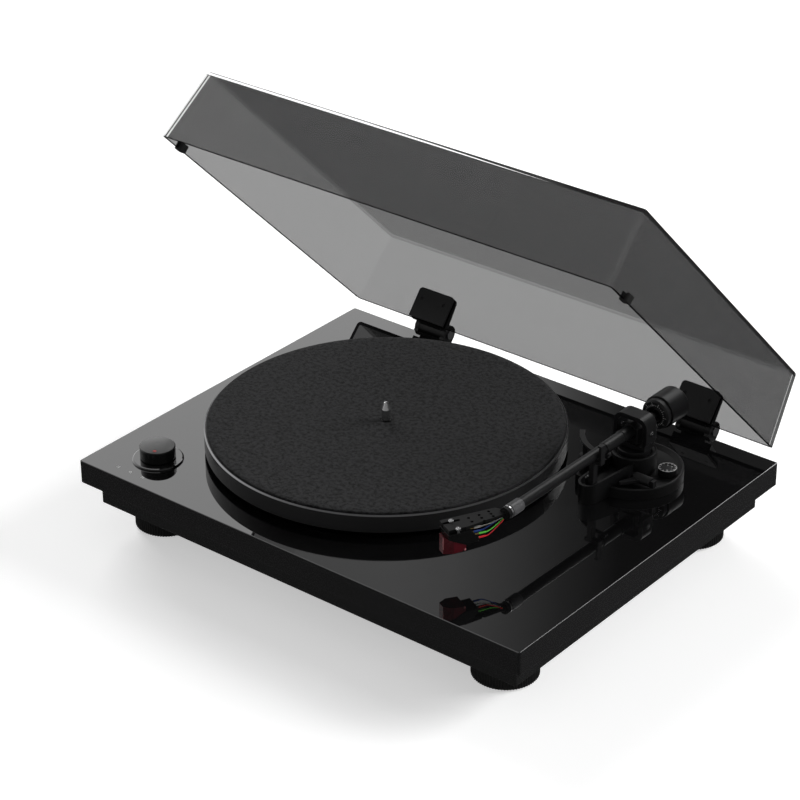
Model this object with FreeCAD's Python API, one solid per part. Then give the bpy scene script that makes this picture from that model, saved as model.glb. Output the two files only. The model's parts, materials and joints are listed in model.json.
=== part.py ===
import FreeCAD, Part
import math
import os
from FreeCAD import Vector

os.makedirs("parts", exist_ok=True)

# All lengths are millimetres. The pieces are laid out in a deck frame whose
# x = 0 is the middle of the plinth, y = 0 its front edge and z = 0 its top
# surface; save() moves every piece so that the origin is the bottom centre
# of the whole record player with the lid standing open.

# ---------------------------------------------------------------- plinth ---
SLAB_W = 450.0
SLAB_D = 352.0
SLAB_T = 20.8
BASE_INSET = 11.6
BASE_H = 20.3
RAIL_T = 16.0
BLOCK = 56.0
COVER_T = 3.0
FOOT_H = 22.8
FOOT_R = 26.6
FOOT_IN = 49.0
FOOT_RIBS = 72
DECK_Z = SLAB_T + BASE_H + FOOT_H
BASE_X = SLAB_W / 2 - BASE_INSET
BASE_Y0 = BASE_INSET
BASE_Y1 = SLAB_D - BASE_INSET
BASE_BOT = -SLAB_T - BASE_H
INNER_TOP = -SLAB_T
INNER_BOT = BASE_BOT + COVER_T
SCREW_TIP = INNER_BOT + 6.1
M3_R = 1.5          # shank radius of the chassis screws
M4_R = 2.0          # shank radius of the foot screws

# --------------------------------------------------------------- platter ---
PLAT_X = -45.5
PLAT_Y = 178.0
PLAT_R = 150.0
PLAT_Z0 = 4.9
PLAT_H = 16.0
PLAT_TOP = PLAT_Z0 + PLAT_H
PLAT_PLATE = 6.0
PLAT_WALL = 9.0
MAT_T = 1.5
MAT_INSET = 2.2
SPINDLE_R = 3.6
SPINDLE_BODY_R = SPINDLE_R + 0.4    # below the record
SHAFT_R = 5.0
SUB_R = 85.0
SUB_WALL = 9.0
SUB_Z0 = 5.5
HUB_R = 13.0
HOUSING_WALL = 4.0
PULLEY_R = 6.0
MOTOR_GAP = 17.0    # free run of the belt between the two wheels
MOTOR_DIST = SUB_R + PULLEY_R + MOTOR_GAP
MOTOR_ANGLE = 225.0
FLANGE_R = 1.3      # how far the belt wheels' flanges stand past the belt
MOTOR_R = 18.0
BELT_T = 0.8
RUN = 0.05          # radial clearance of every running fit
FIT = 0.1           # radial clearance of a piece seated in a hole

# -------------------------------------------------------------- controls ---
KNOB_SIDE = 49.0
KNOB_X = -SLAB_W / 2 + KNOB_SIDE
KNOB_Y = 42.0
KNOB_R = 14.7
KNOB_TOP = 12.8
KNOB_CROWN = 1.8
RING_R = 21.2
KNOB_SHAFT_R = 3.0
DOT_R = 1.5
DOT_OUT = 10.9
DOT_ANGLE = -58.0
SWITCH_BOT = INNER_TOP - 9.2

# ------------------------------------------------------------------- lid ---
LID_SIDE_GAP = 5.0
LID_FRONT_GAP = 6.0
LID_REAR_GAP = 5.0
LID_REAR = SLAB_D - LID_REAR_GAP
LID_W = SLAB_W - 2 * LID_SIDE_GAP
LID_D = LID_REAR - LID_FRONT_GAP
LID_H = 64.5
LID_DRAFT = 6.0
LID_WALL = 3.0
LID_LIFT = 1.0
LID_OPEN = 45.0
HINGE_X = 140.0
HINGE_BACK = 9.9
HINGE_Y = SLAB_D + HINGE_BACK
HINGE_Z = 1.0
HINGE_R = 8.0
PIN_R = 2.5
LEAF_W = 38.0
LEAF_H = 28.0
BARREL_HALF = 11.9
CHEEK_T = 4.5
CHEEK_GAP = 0.3
BUMPER_BACK = 314.0

# --------------------------------------------------------------- tonearm ---
PIVOT_X = PLAT_X + 188.5
PIVOT_Y = PLAT_Y + 85.0
AXIS_Z = 43.0
REST_YAW = -0.6
BASE_R = 41.0
BASE_TOP = 9.5
DISH_Z = 6.6
PILLAR_R = 18.5
PILLAR_TOP = 24.0
COLLAR_R = 13.5
COLLAR_TOP = 27.0
POD_X = PIVOT_X - 6.0
POD_Y = PIVOT_Y - 54.0
POD_R = 8.5
LIFT_DIST = 42.0
LIFT_ANGLE = -124.0
SKATE_R = 7.4
SKATE_GAP = 2.8
SKATE_ANGLE = 15.8
LEVER_X = PIVOT_X + 23.3
LEVER_Y = PIVOT_Y - PILLAR_R - 1.5
LEVER_Z = BASE_TOP + 3.1
LEVER_R = 4.2
LEVER_LEN = 15.4
AXLE_R = 1.5
EAR_T = 2.8
POST_X = POD_X + 3.6
POST_Y = POD_Y + 0.5
TUBE_R = 4.4
TUBE_WALL = 0.6
SLEEVE_R = TUBE_R + 0.7
REAR_R = 3.5
YOKE_TOP = 14.4
COLLAR_Y = -152.0
COLLAR_LEN = 13.6
HEAD_ANGLE = -115.7
SCREW_MID = (-17.8, -209.5)
SCREW_PITCH = 12.7
SHELL_TOP = 1.0
SHELL_BOT = -1.5
SHELL_HOLE_R = 1.25
SHELL_HOLES = [(-14.4, 0.2, 5.9), (-23.5, -1.6, 4.7), (-32.5, -4.0, 3.9)]
STYLUS_Z = -20.2
CART_REAR = -17.0       # measured forward of the cartridge screws
CONTACT_SEAT = -13.0
CONTACT_END = -21.0
CONTACT_R = 0.6
CONTACT_HOLE_R = 0.7
CONTACT_SPOTS = [(-4.4, -11.6), (-4.4, -8.0), (4.4, -8.0), (4.4, -11.6)]
WEIGHT_R = 14.2


# --------------------------------------------------------------- helpers ---
def polar(x, y, r, deg):
    """Point at distance r and angle deg from (x, y)."""
    a = math.radians(deg)
    return x + r * math.cos(a), y + r * math.sin(a)


def box(x0, x1, y0, y1, z0, z1):
    return Part.makeBox(x1 - x0, y1 - y0, z1 - z0, Vector(x0, y0, z0))


def rod(r, start, end):
    """Round bar of radius r between two points."""
    a = Vector(*start)
    b = Vector(*end)
    return Part.makeCylinder(r, (b - a).Length, a, b - a)


def post(r, x, y, z0, z1):
    """Round bar standing upright at (x, y)."""
    return rod(r, (x, y, z0), (x, y, z1))


def pipe(ro, ri, start, end):
    return rod(ro, start, end).cut(rod(ri, start, end))


def ring(ro, ri, x, y, z0, z1):
    return pipe(ro, ri, (x, y, z0), (x, y, z1))


def join(shapes):
    """One solid out of several overlapping ones."""
    out = shapes[0].fuse(shapes[1:]) if len(shapes) > 1 else shapes[0]
    return out.removeSplitter()


def less(shape, tools):
    return shape.cut(Part.makeCompound(tools))


def prism(points, z0, z1):
    """Upright prism over a closed outline of (x, y) points."""
    pts = [Vector(x, y, z0) for x, y in points]
    face = Part.Face(Part.makePolygon(pts + pts[:1]))
    return face.extrude(Vector(0, 0, z1 - z0))


def side_prism(points, x0, x1):
    """Prism along x over a closed outline of (y, z) points."""
    pts = [Vector(x0, y, z) for y, z in points]
    face = Part.Face(Part.makePolygon(pts + pts[:1]))
    return face.extrude(Vector(x1 - x0, 0, 0))


def front_prism(points, y0, y1):
    """Prism along y over a closed outline of (x, z) points."""
    pts = [Vector(x, y0, z) for x, z in points]
    face = Part.Face(Part.makePolygon(pts + pts[:1]))
    return face.extrude(Vector(0, y1 - y0, 0))


def turned(points, x=0.0, y=0.0):
    """Solid of revolution about the vertical through (x, y), from (r, z) points."""
    pts = [Vector(x + r, y, z) for r, z in points]
    face = Part.Face(Part.makePolygon(pts + pts[:1]))
    return face.revolve(Vector(x, y, 0), Vector(0, 0, 1), 360)


def turned_y(points):
    """Solid of revolution about the y axis, from (r, y) points."""
    pts = [Vector(r, y, 0) for r, y in points]
    face = Part.Face(Part.makePolygon(pts + pts[:1]))
    return face.revolve(Vector(0, 0, 0), Vector(0, 1, 0), 360)


def hull(c0, r0, c1, r1, z0, z1):
    """Prism over the outline that wraps two circles."""
    dx = c1[0] - c0[0]
    dy = c1[1] - c0[1]
    dist = math.hypot(dx, dy)
    along = math.degrees(math.atan2(dy, dx))
    lean = math.degrees(math.acos((r0 - r1) / dist))
    a0 = polar(c0[0], c0[1], r0, along + lean)
    a1 = polar(c1[0], c1[1], r1, along + lean)
    b0 = polar(c0[0], c0[1], r0, along - lean)
    b1 = polar(c1[0], c1[1], r1, along - lean)
    far1 = polar(c1[0], c1[1], r1, along)
    far0 = polar(c0[0], c0[1], r0, along + 180)
    up = [Vector(p[0], p[1], z0) for p in (a0, a1, far1, b1, b0, far0)]
    edges = [
        Part.makeLine(up[0], up[1]),
        Part.Arc(up[1], up[2], up[3]).toShape(),
        Part.makeLine(up[3], up[4]),
        Part.Arc(up[4], up[5], up[0]).toShape(),
    ]
    return Part.Face(Part.Wire(edges)).extrude(Vector(0, 0, z1 - z0))


def ribbed(r, depth, count, x, y, z0, z1):
    """Upright cylinder with a fine vertical rib round its side."""
    pts = []
    for i in range(count):
        for share, rad in ((0.0, r), (0.35, r), (0.5, r - depth), (0.85, r - depth)):
            pts.append(polar(x, y, rad, 360.0 * (i + share) / count))
    return prism(pts, z0, z1)


def top_edges(shape):
    """Edges that run along y at a shape's very top."""
    top = shape.BoundBox.ZMax - 1e-6
    return [edge for edge in shape.Edges
            if edge.BoundBox.ZMin > top and edge.BoundBox.YLength > edge.BoundBox.XLength]


def upright_edges(shape):
    """Straight edges of a shape that run along z."""
    found = []
    for edge in shape.Edges:
        a, b = edge.Vertexes[0].Point, edge.Vertexes[-1].Point
        if abs(a.x - b.x) < 1e-6 and abs(a.y - b.y) < 1e-6 and abs(a.z - b.z) > 1e-6:
            found.append(edge)
    return found


def edges_at(shape, z):
    """Edges of a shape that lie wholly at height z."""
    return [e for e in shape.Edges
            if abs(e.BoundBox.ZMin - z) < 1e-4 and abs(e.BoundBox.ZMax - z) < 1e-4]


def screw(r_head, head_h, r_shank, base, tip):
    """Round-headed screw: shank from base to tip, head standing behind base."""
    a = Vector(*base)
    b = Vector(*tip)
    way = (b - a).normalize()
    shank = Part.makeCylinder(r_shank, (b - a).Length, a, way)
    head = Part.makeCylinder(r_head, head_h, a - way * head_h, way)
    return shank.fuse(head).removeSplitter()


def lid_pose(shape):
    """Swing a piece drawn with the lid shut to the open lid."""
    out = shape.copy()
    out.rotate(Vector(0, HINGE_Y, HINGE_Z), Vector(1, 0, 0), -LID_OPEN)
    return out


def arm_pose(shape):
    """Set a piece drawn about the tonearm pivot into the parked arm."""
    out = shape.copy()
    out.rotate(Vector(0, 0, 0), Vector(0, 0, 1), REST_YAW)
    out.translate(Vector(PIVOT_X, PIVOT_Y, AXIS_Z))
    return out


def head_pose(shape):
    """Set a piece drawn about the cartridge screws (x forward) into the arm."""
    out = shape.copy()
    out.rotate(Vector(0, 0, 0), Vector(0, 0, 1), HEAD_ANGLE)
    out.translate(Vector(SCREW_MID[0], SCREW_MID[1], 0))
    return arm_pose(out)


# Rearmost point of the open lid: its rounded top rear edge.
LID_ROUND = 3.5
_slope = math.atan2(LID_DRAFT, LID_H)
_cy = LID_REAR - LID_DRAFT * (LID_H - LID_ROUND) / LID_H - LID_ROUND / math.cos(_slope)
_cz = LID_LIFT + LID_H - LID_ROUND
_open = math.radians(-LID_OPEN)
REAR_Y = (HINGE_Y + (_cy - HINGE_Y) * math.cos(_open)
          - (_cz - HINGE_Z) * math.sin(_open) + LID_ROUND)
ORIGIN_SHIFT = Vector(0, -REAR_Y / 2, DECK_Z)


def save(node, shape):
    out = shape.copy()
    out.translate(ORIGIN_SHIFT)
    out.exportStep("parts/" + node + ".step")


def save_all(node, shapes):
    save(node, Part.makeCompound(shapes))


# ------------------------------------------------------------ part places ---
MOTOR_X, MOTOR_Y = polar(PLAT_X, PLAT_Y, MOTOR_DIST, MOTOR_ANGLE)
FOOT_SPOTS = [(sx * (SLAB_W / 2 - FOOT_IN), y)
              for sx in (-1, 1) for y in (FOOT_IN, SLAB_D - FOOT_IN)]
ISOLATOR_SPOTS = [polar(MOTOR_X, MOTOR_Y, 24.0, a) for a in (90, 210, 330)]
FLANGE_OUT = SHAFT_R + HOUSING_WALL + 5.0
FLANGE_SPOTS = [polar(PLAT_X, PLAT_Y, FLANGE_OUT, a) for a in (30, 150, 270)]
LIFT_X, LIFT_Y = polar(PIVOT_X, PIVOT_Y, LIFT_DIST, LIFT_ANGLE)
SKATE_X, SKATE_Y = polar(PIVOT_X, PIVOT_Y, PILLAR_R + SKATE_R + SKATE_GAP, SKATE_ANGLE)
BRACKET_Z = -13.5
REAR_SCREW_R = 1.4
BOSS_R = 9.8
BRACKET_T = 3.2
BRACKET_SCREWS = [(side * HINGE_X + dx, BRACKET_Z) for side in (-1, 1) for dx in (-8.5, 8.5)]

# Rear panel layout, x positions of what it carries.
PANEL_HALF = 70.0
PANEL_T = 1.5
PANEL_OUT = BASE_Y1
PANEL_IN = PANEL_OUT - PANEL_T
PANEL_Z = INNER_TOP - 10.2
RCA_X = (-50.0, -36.0)
GROUND_X = -20.0
SWITCH_X = 6.0
DC_X = 34.0
PANEL_SCREWS = [(sx * 66.0, z) for sx in (-1, 1) for z in (PANEL_Z + 5.5, PANEL_Z - 5.5)]

# Circuit board on four bosses of the bottom cover.
BOARD_X = 58.0
BOARD_Y1 = BASE_Y1 - 18.4
BOARD_Y0 = BOARD_Y1 - 60.0
BOARD_Z0 = INNER_BOT + 4.5
BOARD_Z1 = BOARD_Z0 + 1.6
BOARD_SPOTS = [(sx * (BOARD_X - 5), y) for sx in (-1, 1)
               for y in (BOARD_Y0 + 5, BOARD_Y1 - 5)]


# ----------------------------------------------------------- plinth parts ---
def make_slab():
    slab = box(-SLAB_W / 2, SLAB_W / 2, 0, SLAB_D, -SLAB_T, 0)
    slab = slab.makeFillet(2.0, upright_edges(slab))
    slab = slab.makeFillet(0.8, edges_at(slab, 0) + edges_at(slab, -SLAB_T))
    tools = [
        post(SHAFT_R + HOUSING_WALL + FIT, PLAT_X, PLAT_Y, -SLAB_T - 1, 1),
        post(PULLEY_R + 4.0, MOTOR_X, MOTOR_Y, -SLAB_T - 1, 1),
        post(BOSS_R + FIT, PIVOT_X, PIVOT_Y, -SLAB_T - 1, 1),
        post(KNOB_SHAFT_R + 1.2, KNOB_X, KNOB_Y, -SLAB_T - 1, 1),
    ]
    for x, y in ISOLATOR_SPOTS + FLANGE_SPOTS:
        tools.append(post(M3_R + FIT, x, y, -SLAB_T - 1, INNER_TOP + 9.3))
    for x, z in BRACKET_SCREWS:
        tools.append(rod(REAR_SCREW_R + FIT, (x, SLAB_D - 8.0, z), (x, SLAB_D + 1, z)))
    return less(slab, tools)


def make_base_frame():
    outer = box(-BASE_X, BASE_X, BASE_Y0, BASE_Y1, BASE_BOT, INNER_TOP)
    outer = outer.makeFillet(1.5, upright_edges(outer))
    outer = outer.makeFillet(0.6, edges_at(outer, BASE_BOT))
    half = RAIL_T / 2
    tools = [
        box(-BASE_X + RAIL_T, BASE_X - RAIL_T, BASE_Y0 + BLOCK, BASE_Y1 - BLOCK,
            BASE_BOT - 1, INNER_TOP + 1),
        box(-BASE_X + BLOCK, BASE_X - BLOCK, BASE_Y0 + RAIL_T, BASE_Y1 - RAIL_T,
            BASE_BOT - 1, INNER_TOP + 1),
        box(-BASE_X + half, BASE_X - half, BASE_Y0 + half, BASE_Y1 - half,
            BASE_BOT - 1, INNER_BOT),
        box(-PANEL_HALF - FIT, PANEL_HALF + FIT, PANEL_IN, BASE_Y1 + 1,
            BASE_BOT - 1, INNER_TOP - 0.4),
        box(-PANEL_HALF + 8, PANEL_HALF - 8, BASE_Y1 - RAIL_T - 1, PANEL_IN + 1,
            INNER_BOT, INNER_TOP - 2.0),
        box(KNOB_X - 14, KNOB_X + 14, KNOB_Y - 11, KNOB_Y + 15, SWITCH_BOT - 0.5, INNER_TOP + 1),
    ]
    for x, y in FOOT_SPOTS:
        tools.append(post(M4_R + FIT, x, y, INNER_BOT - 1, SCREW_TIP + 0.5))
    for x, z in PANEL_SCREWS:
        tools.append(rod(REAR_SCREW_R + FIT, (x, PANEL_OUT - 11.0, z), (x, PANEL_OUT + 1, z)))
    return less(outer, tools)


def make_bottom_cover():
    gap = RAIL_T / 2 + 0.2
    plate = box(-BASE_X + gap, BASE_X - gap, BASE_Y0 + gap, BASE_Y1 - gap,
                BASE_BOT, INNER_BOT)
    tools = [post(M4_R + FIT, x, y, BASE_BOT - 1, INNER_BOT + 1) for x, y in FOOT_SPOTS]
    for row in range(3):
        for i in range(9):
            x = MOTOR_X - 36 + 9 * i
            y = MOTOR_Y - 30 + 30 * row
            tools.append(box(x, x + 3, y - 11, y + 11, BASE_BOT - 1, INNER_BOT + 1))
    bosses = []
    for x, y in BOARD_SPOTS:
        bosses.append(post(3.2, x, y, INNER_BOT - 1, BOARD_Z0))
        bosses.append(post(1.5, x, y, INNER_BOT - 1, BOARD_Z1 + 1.2))
    return less(join([plate] + bosses), tools)


def make_foot(x, y):
    top = BASE_BOT
    bottom = -DECK_Z
    body = ribbed(FOOT_R, 0.6, FOOT_RIBS, x, y, bottom + 1.6, top - 4.0)
    toe = turned([(0, bottom), (FOOT_R - 3.0, bottom), (FOOT_R - 1.2, bottom + 1.6),
                  (0, bottom + 1.6)], x, y)
    neck = turned([(0, top - 4.0), (FOOT_R - 1.2, top - 4.0), (FOOT_R - 3.2, top - 2.2),
                   (FOOT_R - 3.2, top), (0, top)], x, y)
    foot = join([body, toe, neck])
    tools = [
        post(6.0, x, y, bottom - 1, bottom + 11.0),
        post(M4_R + FIT, x, y, bottom, top + 1),
    ]
    return less(foot, tools)


def make_foot_screw(x, y):
    seat = -DECK_Z + 11.0
    return screw(4.4, 2.8, M4_R, (x, y, seat), (x, y, SCREW_TIP))


def make_plinth():
    save("plinth_slab", make_slab())
    save("base_frame", make_base_frame())
    save("bottom_cover", make_bottom_cover())
    save_all("feet", [make_foot(x, y) for x, y in FOOT_SPOTS])
    save_all("foot_screws", [make_foot_screw(x, y) for x, y in FOOT_SPOTS])


# -------------------------------------------------------------- rear panel ---
def make_rear_panel():
    panel = box(-PANEL_HALF, PANEL_HALF, PANEL_IN, PANEL_OUT, BASE_BOT + 0.3, INNER_TOP - 0.6)
    y0 = PANEL_IN - 1
    y1 = PANEL_OUT + 1
    tools = [rod(4.1 + FIT, (x, y0, PANEL_Z), (x, y1, PANEL_Z)) for x in RCA_X]
    tools.append(rod(2.0 + FIT, (GROUND_X, y0, PANEL_Z), (GROUND_X, y1, PANEL_Z)))
    tools.append(rod(4.2 + FIT, (DC_X, y0, PANEL_Z), (DC_X, y1, PANEL_Z)))
    tools.append(box(SWITCH_X - 4.2, SWITCH_X + 4.2, y0, y1, PANEL_Z - 1.9, PANEL_Z + 1.9))
    tools += [rod(REAR_SCREW_R + FIT, (x, y0, z), (x, y1, z)) for x, z in PANEL_SCREWS]
    return less(panel, tools)


def make_rca(x):
    shell = join([
        rod(4.1, (x, PANEL_IN - 8, PANEL_Z), (x, PANEL_OUT + 9, PANEL_Z)),
        rod(5.6, (x, PANEL_OUT, PANEL_Z), (x, PANEL_OUT + 1.6, PANEL_Z)),
        rod(5.6, (x, PANEL_IN - 2, PANEL_Z), (x, PANEL_IN, PANEL_Z)),
    ])
    return shell.cut(rod(2.9, (x, PANEL_OUT - 0.5, PANEL_Z), (x, PANEL_OUT + 10, PANEL_Z)))


def make_rca_insert(x):
    return pipe(2.8, 1.65, (x, PANEL_OUT - 0.5, PANEL_Z), (x, PANEL_OUT + 8.4, PANEL_Z))


def make_ground_terminal():
    return join([
        rod(2.0, (GROUND_X, PANEL_IN - 6, PANEL_Z), (GROUND_X, PANEL_OUT + 9.5, PANEL_Z)),
        rod(4.2, (GROUND_X, PANEL_IN - 3, PANEL_Z), (GROUND_X, PANEL_IN, PANEL_Z)),
    ])


def make_ground_nut():
    nut = ribbed(5.4, 0.45, 30, 0, 0, 0.4, 6.4).cut(post(2.0 + RUN, 0, 0, 0, 7))
    nut.rotate(Vector(0, 0, 0), Vector(1, 0, 0), -90)
    nut.translate(Vector(GROUND_X, PANEL_OUT, PANEL_Z))
    return nut


def make_dc_inlet():
    shell = join([
        box(DC_X - 5.5, DC_X + 5.5, PANEL_IN - 12, PANEL_IN, PANEL_Z - 5.2, PANEL_Z + 5.2),
        rod(4.2, (DC_X, PANEL_IN - 1, PANEL_Z), (DC_X, PANEL_OUT + 1.2, PANEL_Z)),
    ])
    shell = shell.cut(rod(2.9, (DC_X, PANEL_IN - 8.5, PANEL_Z), (DC_X, PANEL_OUT + 2, PANEL_Z)))
    pin = rod(1.0, (DC_X, PANEL_IN - 9, PANEL_Z), (DC_X, PANEL_OUT - 1, PANEL_Z))
    return join([shell, pin])


def make_switch_body():
    body = box(SWITCH_X - 7, SWITCH_X + 7, PANEL_IN - 6, PANEL_IN, PANEL_Z - 4, PANEL_Z + 4)
    foot = box(SWITCH_X - 5, SWITCH_X + 5, BOARD_Y1 - 6, PANEL_IN - 5, BOARD_Z1, BOARD_Z1 + 1.2)
    slot = box(SWITCH_X - 4.2, SWITCH_X + 4.2, PANEL_IN - 3.5, PANEL_IN + 1,
               PANEL_Z - 1.9, PANEL_Z + 1.9)
    return join([body, foot]).cut(slot)


def make_switch_slider():
    return box(SWITCH_X - 2.1 - 1.9, SWITCH_X - 2.1 + 1.9, PANEL_IN - 3.45, PANEL_OUT + 2.4,
               PANEL_Z - 1.85, PANEL_Z + 1.85)


def make_rear_screw(x, y, z):
    return screw(2.8, 1.6, REAR_SCREW_R, (x, y, z), (x, y - 10.5, z))


def make_board():
    board = box(-BOARD_X, BOARD_X, BOARD_Y0, BOARD_Y1, BOARD_Z0, BOARD_Z1)
    return less(board, [post(1.6, x, y, BOARD_Z0 - 1, BOARD_Z1 + 1) for x, y in BOARD_SPOTS])


def make_board_parts():
    z = BOARD_Z1
    y0 = BOARD_Y0
    parts = [post(4.0, x, y0 + y, z, z + 9.0) for x, y in ((-30, 38), (-20, 38), (36, 22))]
    parts += [post(2.6, x, y0 + y, z, z + 6.0) for x, y in ((-30, 22), (20, 42), (46, 38))]
    for x, y in ((-8, 26), (10, 18), (-40, 14)):
        parts.append(box(x - 5, x + 5, y0 + y - 3.2, y0 + y + 3.2, z, z + 2.4))
    parts.append(box(24, 34, y0 + 44, y0 + 48, z, z + 8.5))
    return parts


def make_rear():
    save("rear_panel", make_rear_panel())
    save_all("rca_sockets", [make_rca(x) for x in RCA_X])
    save_all("rca_inserts", [make_rca_insert(x) for x in RCA_X])
    save("ground_terminal", make_ground_terminal())
    save("ground_nut", make_ground_nut())
    save("dc_inlet", make_dc_inlet())
    save("switch_slider", make_switch_slider())
    screws = [make_rear_screw(x, PANEL_OUT, z) for x, z in PANEL_SCREWS]
    screws += [make_rear_screw(x, SLAB_D + BRACKET_T, z) for x, z in BRACKET_SCREWS]
    save_all("rear_screws", screws)
    save_all("circuit_board", [make_board(), make_switch_body()] + make_board_parts())


# ------------------------------------------------------------------- drive ---
MOTOR_SHAFT_R = 1.5
PLATE_TOP = INNER_TOP - 3.0
PLATE_BOT = PLATE_TOP - 1.6
BELT_Z0 = SUB_Z0 + 1.7
BELT_Z1 = BELT_Z0 + 4.6
HOUSING_BOT = INNER_BOT + 0.5
FLANGE_BOT = INNER_TOP - 3.8
SHAFT_END = HOUSING_BOT + 2.0 + RUN


def make_motor():
    can = post(MOTOR_R, MOTOR_X, MOTOR_Y, INNER_BOT + 0.5, PLATE_BOT)
    can = can.makeChamfer(1.0, edges_at(can, INNER_BOT + 0.5))
    boss = post(4.0, MOTOR_X, MOTOR_Y, PLATE_BOT - 1, PLATE_TOP + 1.5)
    flange = post(29.0, MOTOR_X, MOTOR_Y, PLATE_BOT, PLATE_TOP)
    tools = [post(MOTOR_SHAFT_R + RUN, MOTOR_X, MOTOR_Y, INNER_BOT + 2, PLATE_TOP + 2)]
    tools += [post(M3_R + FIT, x, y, PLATE_BOT - 1, PLATE_TOP + 1) for x, y in ISOLATOR_SPOTS]
    return less(join([can, boss, flange]), tools)


def make_pulley():
    groove = PULLEY_R + FLANGE_R
    wheel = turned([
        (0, SUB_Z0), (groove, SUB_Z0), (groove, BELT_Z0 - 0.7), (PULLEY_R, BELT_Z0 - 0.5),
        (PULLEY_R, BELT_Z1 + 0.5), (groove, BELT_Z1 + 0.7), (groove, BELT_Z1 + 1.4),
        (0, BELT_Z1 + 1.4)], MOTOR_X, MOTOR_Y)
    return join([wheel, post(MOTOR_SHAFT_R, MOTOR_X, MOTOR_Y, INNER_BOT + 2.5, SUB_Z0 + 1)])


def make_belt():
    here = (PLAT_X, PLAT_Y)
    there = (MOTOR_X, MOTOR_Y)
    inner = hull(here, SUB_R + RUN, there, PULLEY_R + RUN, BELT_Z0 - 1, BELT_Z1 + 1)
    outer = hull(here, SUB_R + RUN + BELT_T, there, PULLEY_R + RUN + BELT_T, BELT_Z0, BELT_Z1)
    return outer.cut(inner)


def make_sub_platter():
    top = PLAT_TOP - PLAT_PLATE
    under = SUB_Z0 + 4.5
    inner = SUB_R - SUB_WALL
    outer = SUB_R + FLANGE_R
    return turned([
        (SPINDLE_BODY_R + RUN, SUB_Z0), (HUB_R, SUB_Z0), (HUB_R, under), (inner, under),
        (inner, SUB_Z0), (outer, SUB_Z0), (outer, BELT_Z0 - 0.7), (SUB_R, BELT_Z0 - 0.5),
        (SUB_R, top), (SPINDLE_BODY_R + RUN, top)], PLAT_X, PLAT_Y)


def make_platter():
    under = PLAT_TOP - PLAT_PLATE
    inner = PLAT_R - PLAT_WALL
    return turned([
        (SPINDLE_BODY_R + RUN, under), (inner - 1, under), (inner, under - 1), (inner, PLAT_Z0),
        (PLAT_R - 0.6, PLAT_Z0), (PLAT_R, PLAT_Z0 + 0.6), (PLAT_R, PLAT_TOP - 1.0),
        (PLAT_R - 1.0, PLAT_TOP), (SPINDLE_BODY_R + RUN, PLAT_TOP)], PLAT_X, PLAT_Y)


def make_spindle():
    top = PLAT_TOP + MAT_T
    return turned([
        (0, SHAFT_END), (SHAFT_R - 0.8, SHAFT_END), (SHAFT_R, SHAFT_END + 0.8),
        (SHAFT_R, SUB_Z0), (SPINDLE_BODY_R, SUB_Z0), (SPINDLE_BODY_R, top),
        (SPINDLE_R, top), (SPINDLE_R, top + 10.0),
        (1.6, top + 16.2), (0.9, top + 16.8), (0, top + 16.8)], PLAT_X, PLAT_Y)


def make_bearing_housing():
    r = SHAFT_R + RUN
    wall = SHAFT_R + HOUSING_WALL
    flange = FLANGE_OUT + 4.5
    return turned([
        (0, HOUSING_BOT), (wall, HOUSING_BOT), (wall, FLANGE_BOT), (flange, FLANGE_BOT),
        (flange, INNER_TOP), (wall, INNER_TOP), (wall, SUB_Z0 - 1.0), (r, SUB_Z0 - 1.0),
        (r, HOUSING_BOT + 2.0), (0, HOUSING_BOT + 2.0)], PLAT_X, PLAT_Y)


def make_drive():
    holes = [post(M3_R + FIT, x, y, FLANGE_BOT - 1, INNER_TOP + 1) for x, y in FLANGE_SPOTS]
    save("bearing_housing", less(make_bearing_housing(), holes))
    seats = [(x, y, FLANGE_BOT) for x, y in FLANGE_SPOTS]
    seats += [(x, y, PLATE_BOT) for x, y in ISOLATOR_SPOTS]
    save_all("chassis_screws", [screw(2.8, 1.8, M3_R, (x, y, z), (x, y, z + 12.6))
                                for x, y, z in seats])
    save("spindle", make_spindle())
    save("sub_platter", make_sub_platter())
    save("platter", make_platter())
    save("platter_mat", ring(PLAT_R - MAT_INSET, SPINDLE_BODY_R + 0.4, PLAT_X, PLAT_Y,
                             PLAT_TOP, PLAT_TOP + MAT_T))
    save("motor", make_motor())
    save_all("motor_isolators", [ring(5.0, M3_R + FIT, x, y, PLATE_TOP, INNER_TOP)
                                 for x, y in ISOLATOR_SPOTS])
    save("motor_pulley", make_pulley())
    save("drive_belt", make_belt())


# -------------------------------------------------------------- speed knob ---
def make_knob():
    pts = [(0, SWITCH_BOT + 1.4), (KNOB_SHAFT_R, SWITCH_BOT + 1.4), (KNOB_SHAFT_R, 2.2),
           (KNOB_R - 0.5, 2.2), (KNOB_R, 2.7), (KNOB_R, KNOB_TOP - 0.8), (KNOB_R - 0.8, KNOB_TOP)]
    for share in (0.84, 0.68, 0.52, 0.36, 0.2):
        pts.append((share * (KNOB_R - 0.8), KNOB_TOP + KNOB_CROWN * (1 - share ** 2)))
    pts.append((0, pts[-1][1]))
    knob = turned(pts, KNOB_X, KNOB_Y)
    x, y = polar(KNOB_X, KNOB_Y, DOT_OUT, DOT_ANGLE)
    return knob.cut(post(DOT_R + FIT, x, y, KNOB_TOP, KNOB_TOP + 3))


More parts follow.
